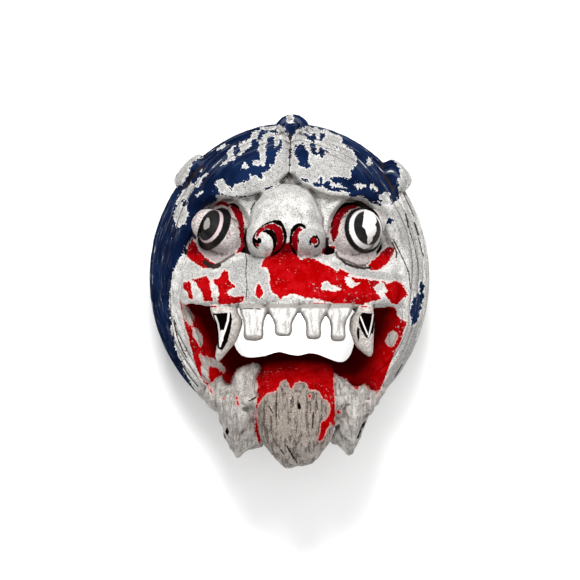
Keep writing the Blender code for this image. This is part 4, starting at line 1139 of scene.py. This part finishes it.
COAT_GLOSS, BARE_SHEEN = 0.14, 0.12
coated = most(navy, red, black)
dull = ramp(cloud(5.0, 4.0), 0.35, 0.65, 0.5, 0.72)
tree.links.new(calc("SUBTRACT", dull, times(coated, COAT_GLOSS)), skin.inputs["Roughness"])
tree.links.new(times(calc("SUBTRACT", 1.0, coated), BARE_SHEEN), skin.inputs["Specular IOR Level"])
thickness = calc("ADD", times(coated, 0.25), times(calc("SUBTRACT", dust, 0.5), 0.5))
thickness = calc("ADD", thickness, times(calc("SUBTRACT", specks, 0.5), 0.9))
thickness = calc("SUBTRACT", thickness, times(times(bare, ramp(grain, 0.5, 0.68)), 1.1))
bump = node("Bump", {"Strength": 0.8, "Distance": 0.0008, "Height": thickness})
tree.links.new(bump, skin.inputs["Normal"])
mask.data.materials.clear()
mask.data.materials.append(paint)

# Floor, light and camera
# A plain white table, a soft lamp above the crown, a fill from the viewer's side, and a
# lamp inside the hollow that lights the table seen through the mouth.
bm = bmesh.new()
bmesh.ops.create_grid(bm, x_segments=1, y_segments=1, size=4.0)
floor = placed("floor", finished(bm, "floor"))
white_table = bpy.data.materials.new("white_table")
white_table.use_nodes = True
table_top = white_table.node_tree.nodes["Principled BSDF"].inputs
table_top["Base Color"].default_value = (0.93, 0.93, 0.93, 1)
table_top["Roughness"].default_value = 0.9
table_top["Specular IOR Level"].default_value = 0.1
floor.data.materials.append(white_table)


def lamp(name, place, target, watts, size):
    light = bpy.data.lights.new(name, "AREA")
    light.energy, light.size = watts, size
    made = placed(name, light)
    made.location = place
    made.rotation_euler = (Vector(target) - Vector(place)).to_track_quat("-Z", "Y").to_euler()


lamp("key", (-0.08, 0.85, 1.45), (0, 0, 0.08), 29, 0.5)
lamp("fill", (0.3, -0.2, 2.2), (0, 0, 0.08), 22, 1.6)
lamp("hollow_lamp", (0.004, -0.03, 0.055), (0.004, -0.03, 0), 0.08, 0.05)
world = bpy.data.worlds.new("studio")
world.use_nodes = True
daylight = world.node_tree.nodes["Background"].inputs
daylight["Color"].default_value = (1, 1, 1, 1)
daylight["Strength"].default_value = 0.62
bpy.context.scene.world = world
bpy.context.scene.view_settings.view_transform = "Standard"

FRAME_ACROSS, MASK_LEVEL, CAMERA_HEIGHT, CAMERA_X = 0.464, 0.075, 4.0, 0.0004
SENSOR = 36
camera_data = bpy.data.cameras.new("camera")
camera_data.sensor_width = SENSOR
camera_data.lens = SENSOR * (CAMERA_HEIGHT - MASK_LEVEL) / FRAME_ACROSS
camera = placed("camera", camera_data)
camera.location = (CAMERA_X - shift[0] * MILLIMETRE, -shift[1] * MILLIMETRE, CAMERA_HEIGHT)
bpy.context.scene.camera = camera
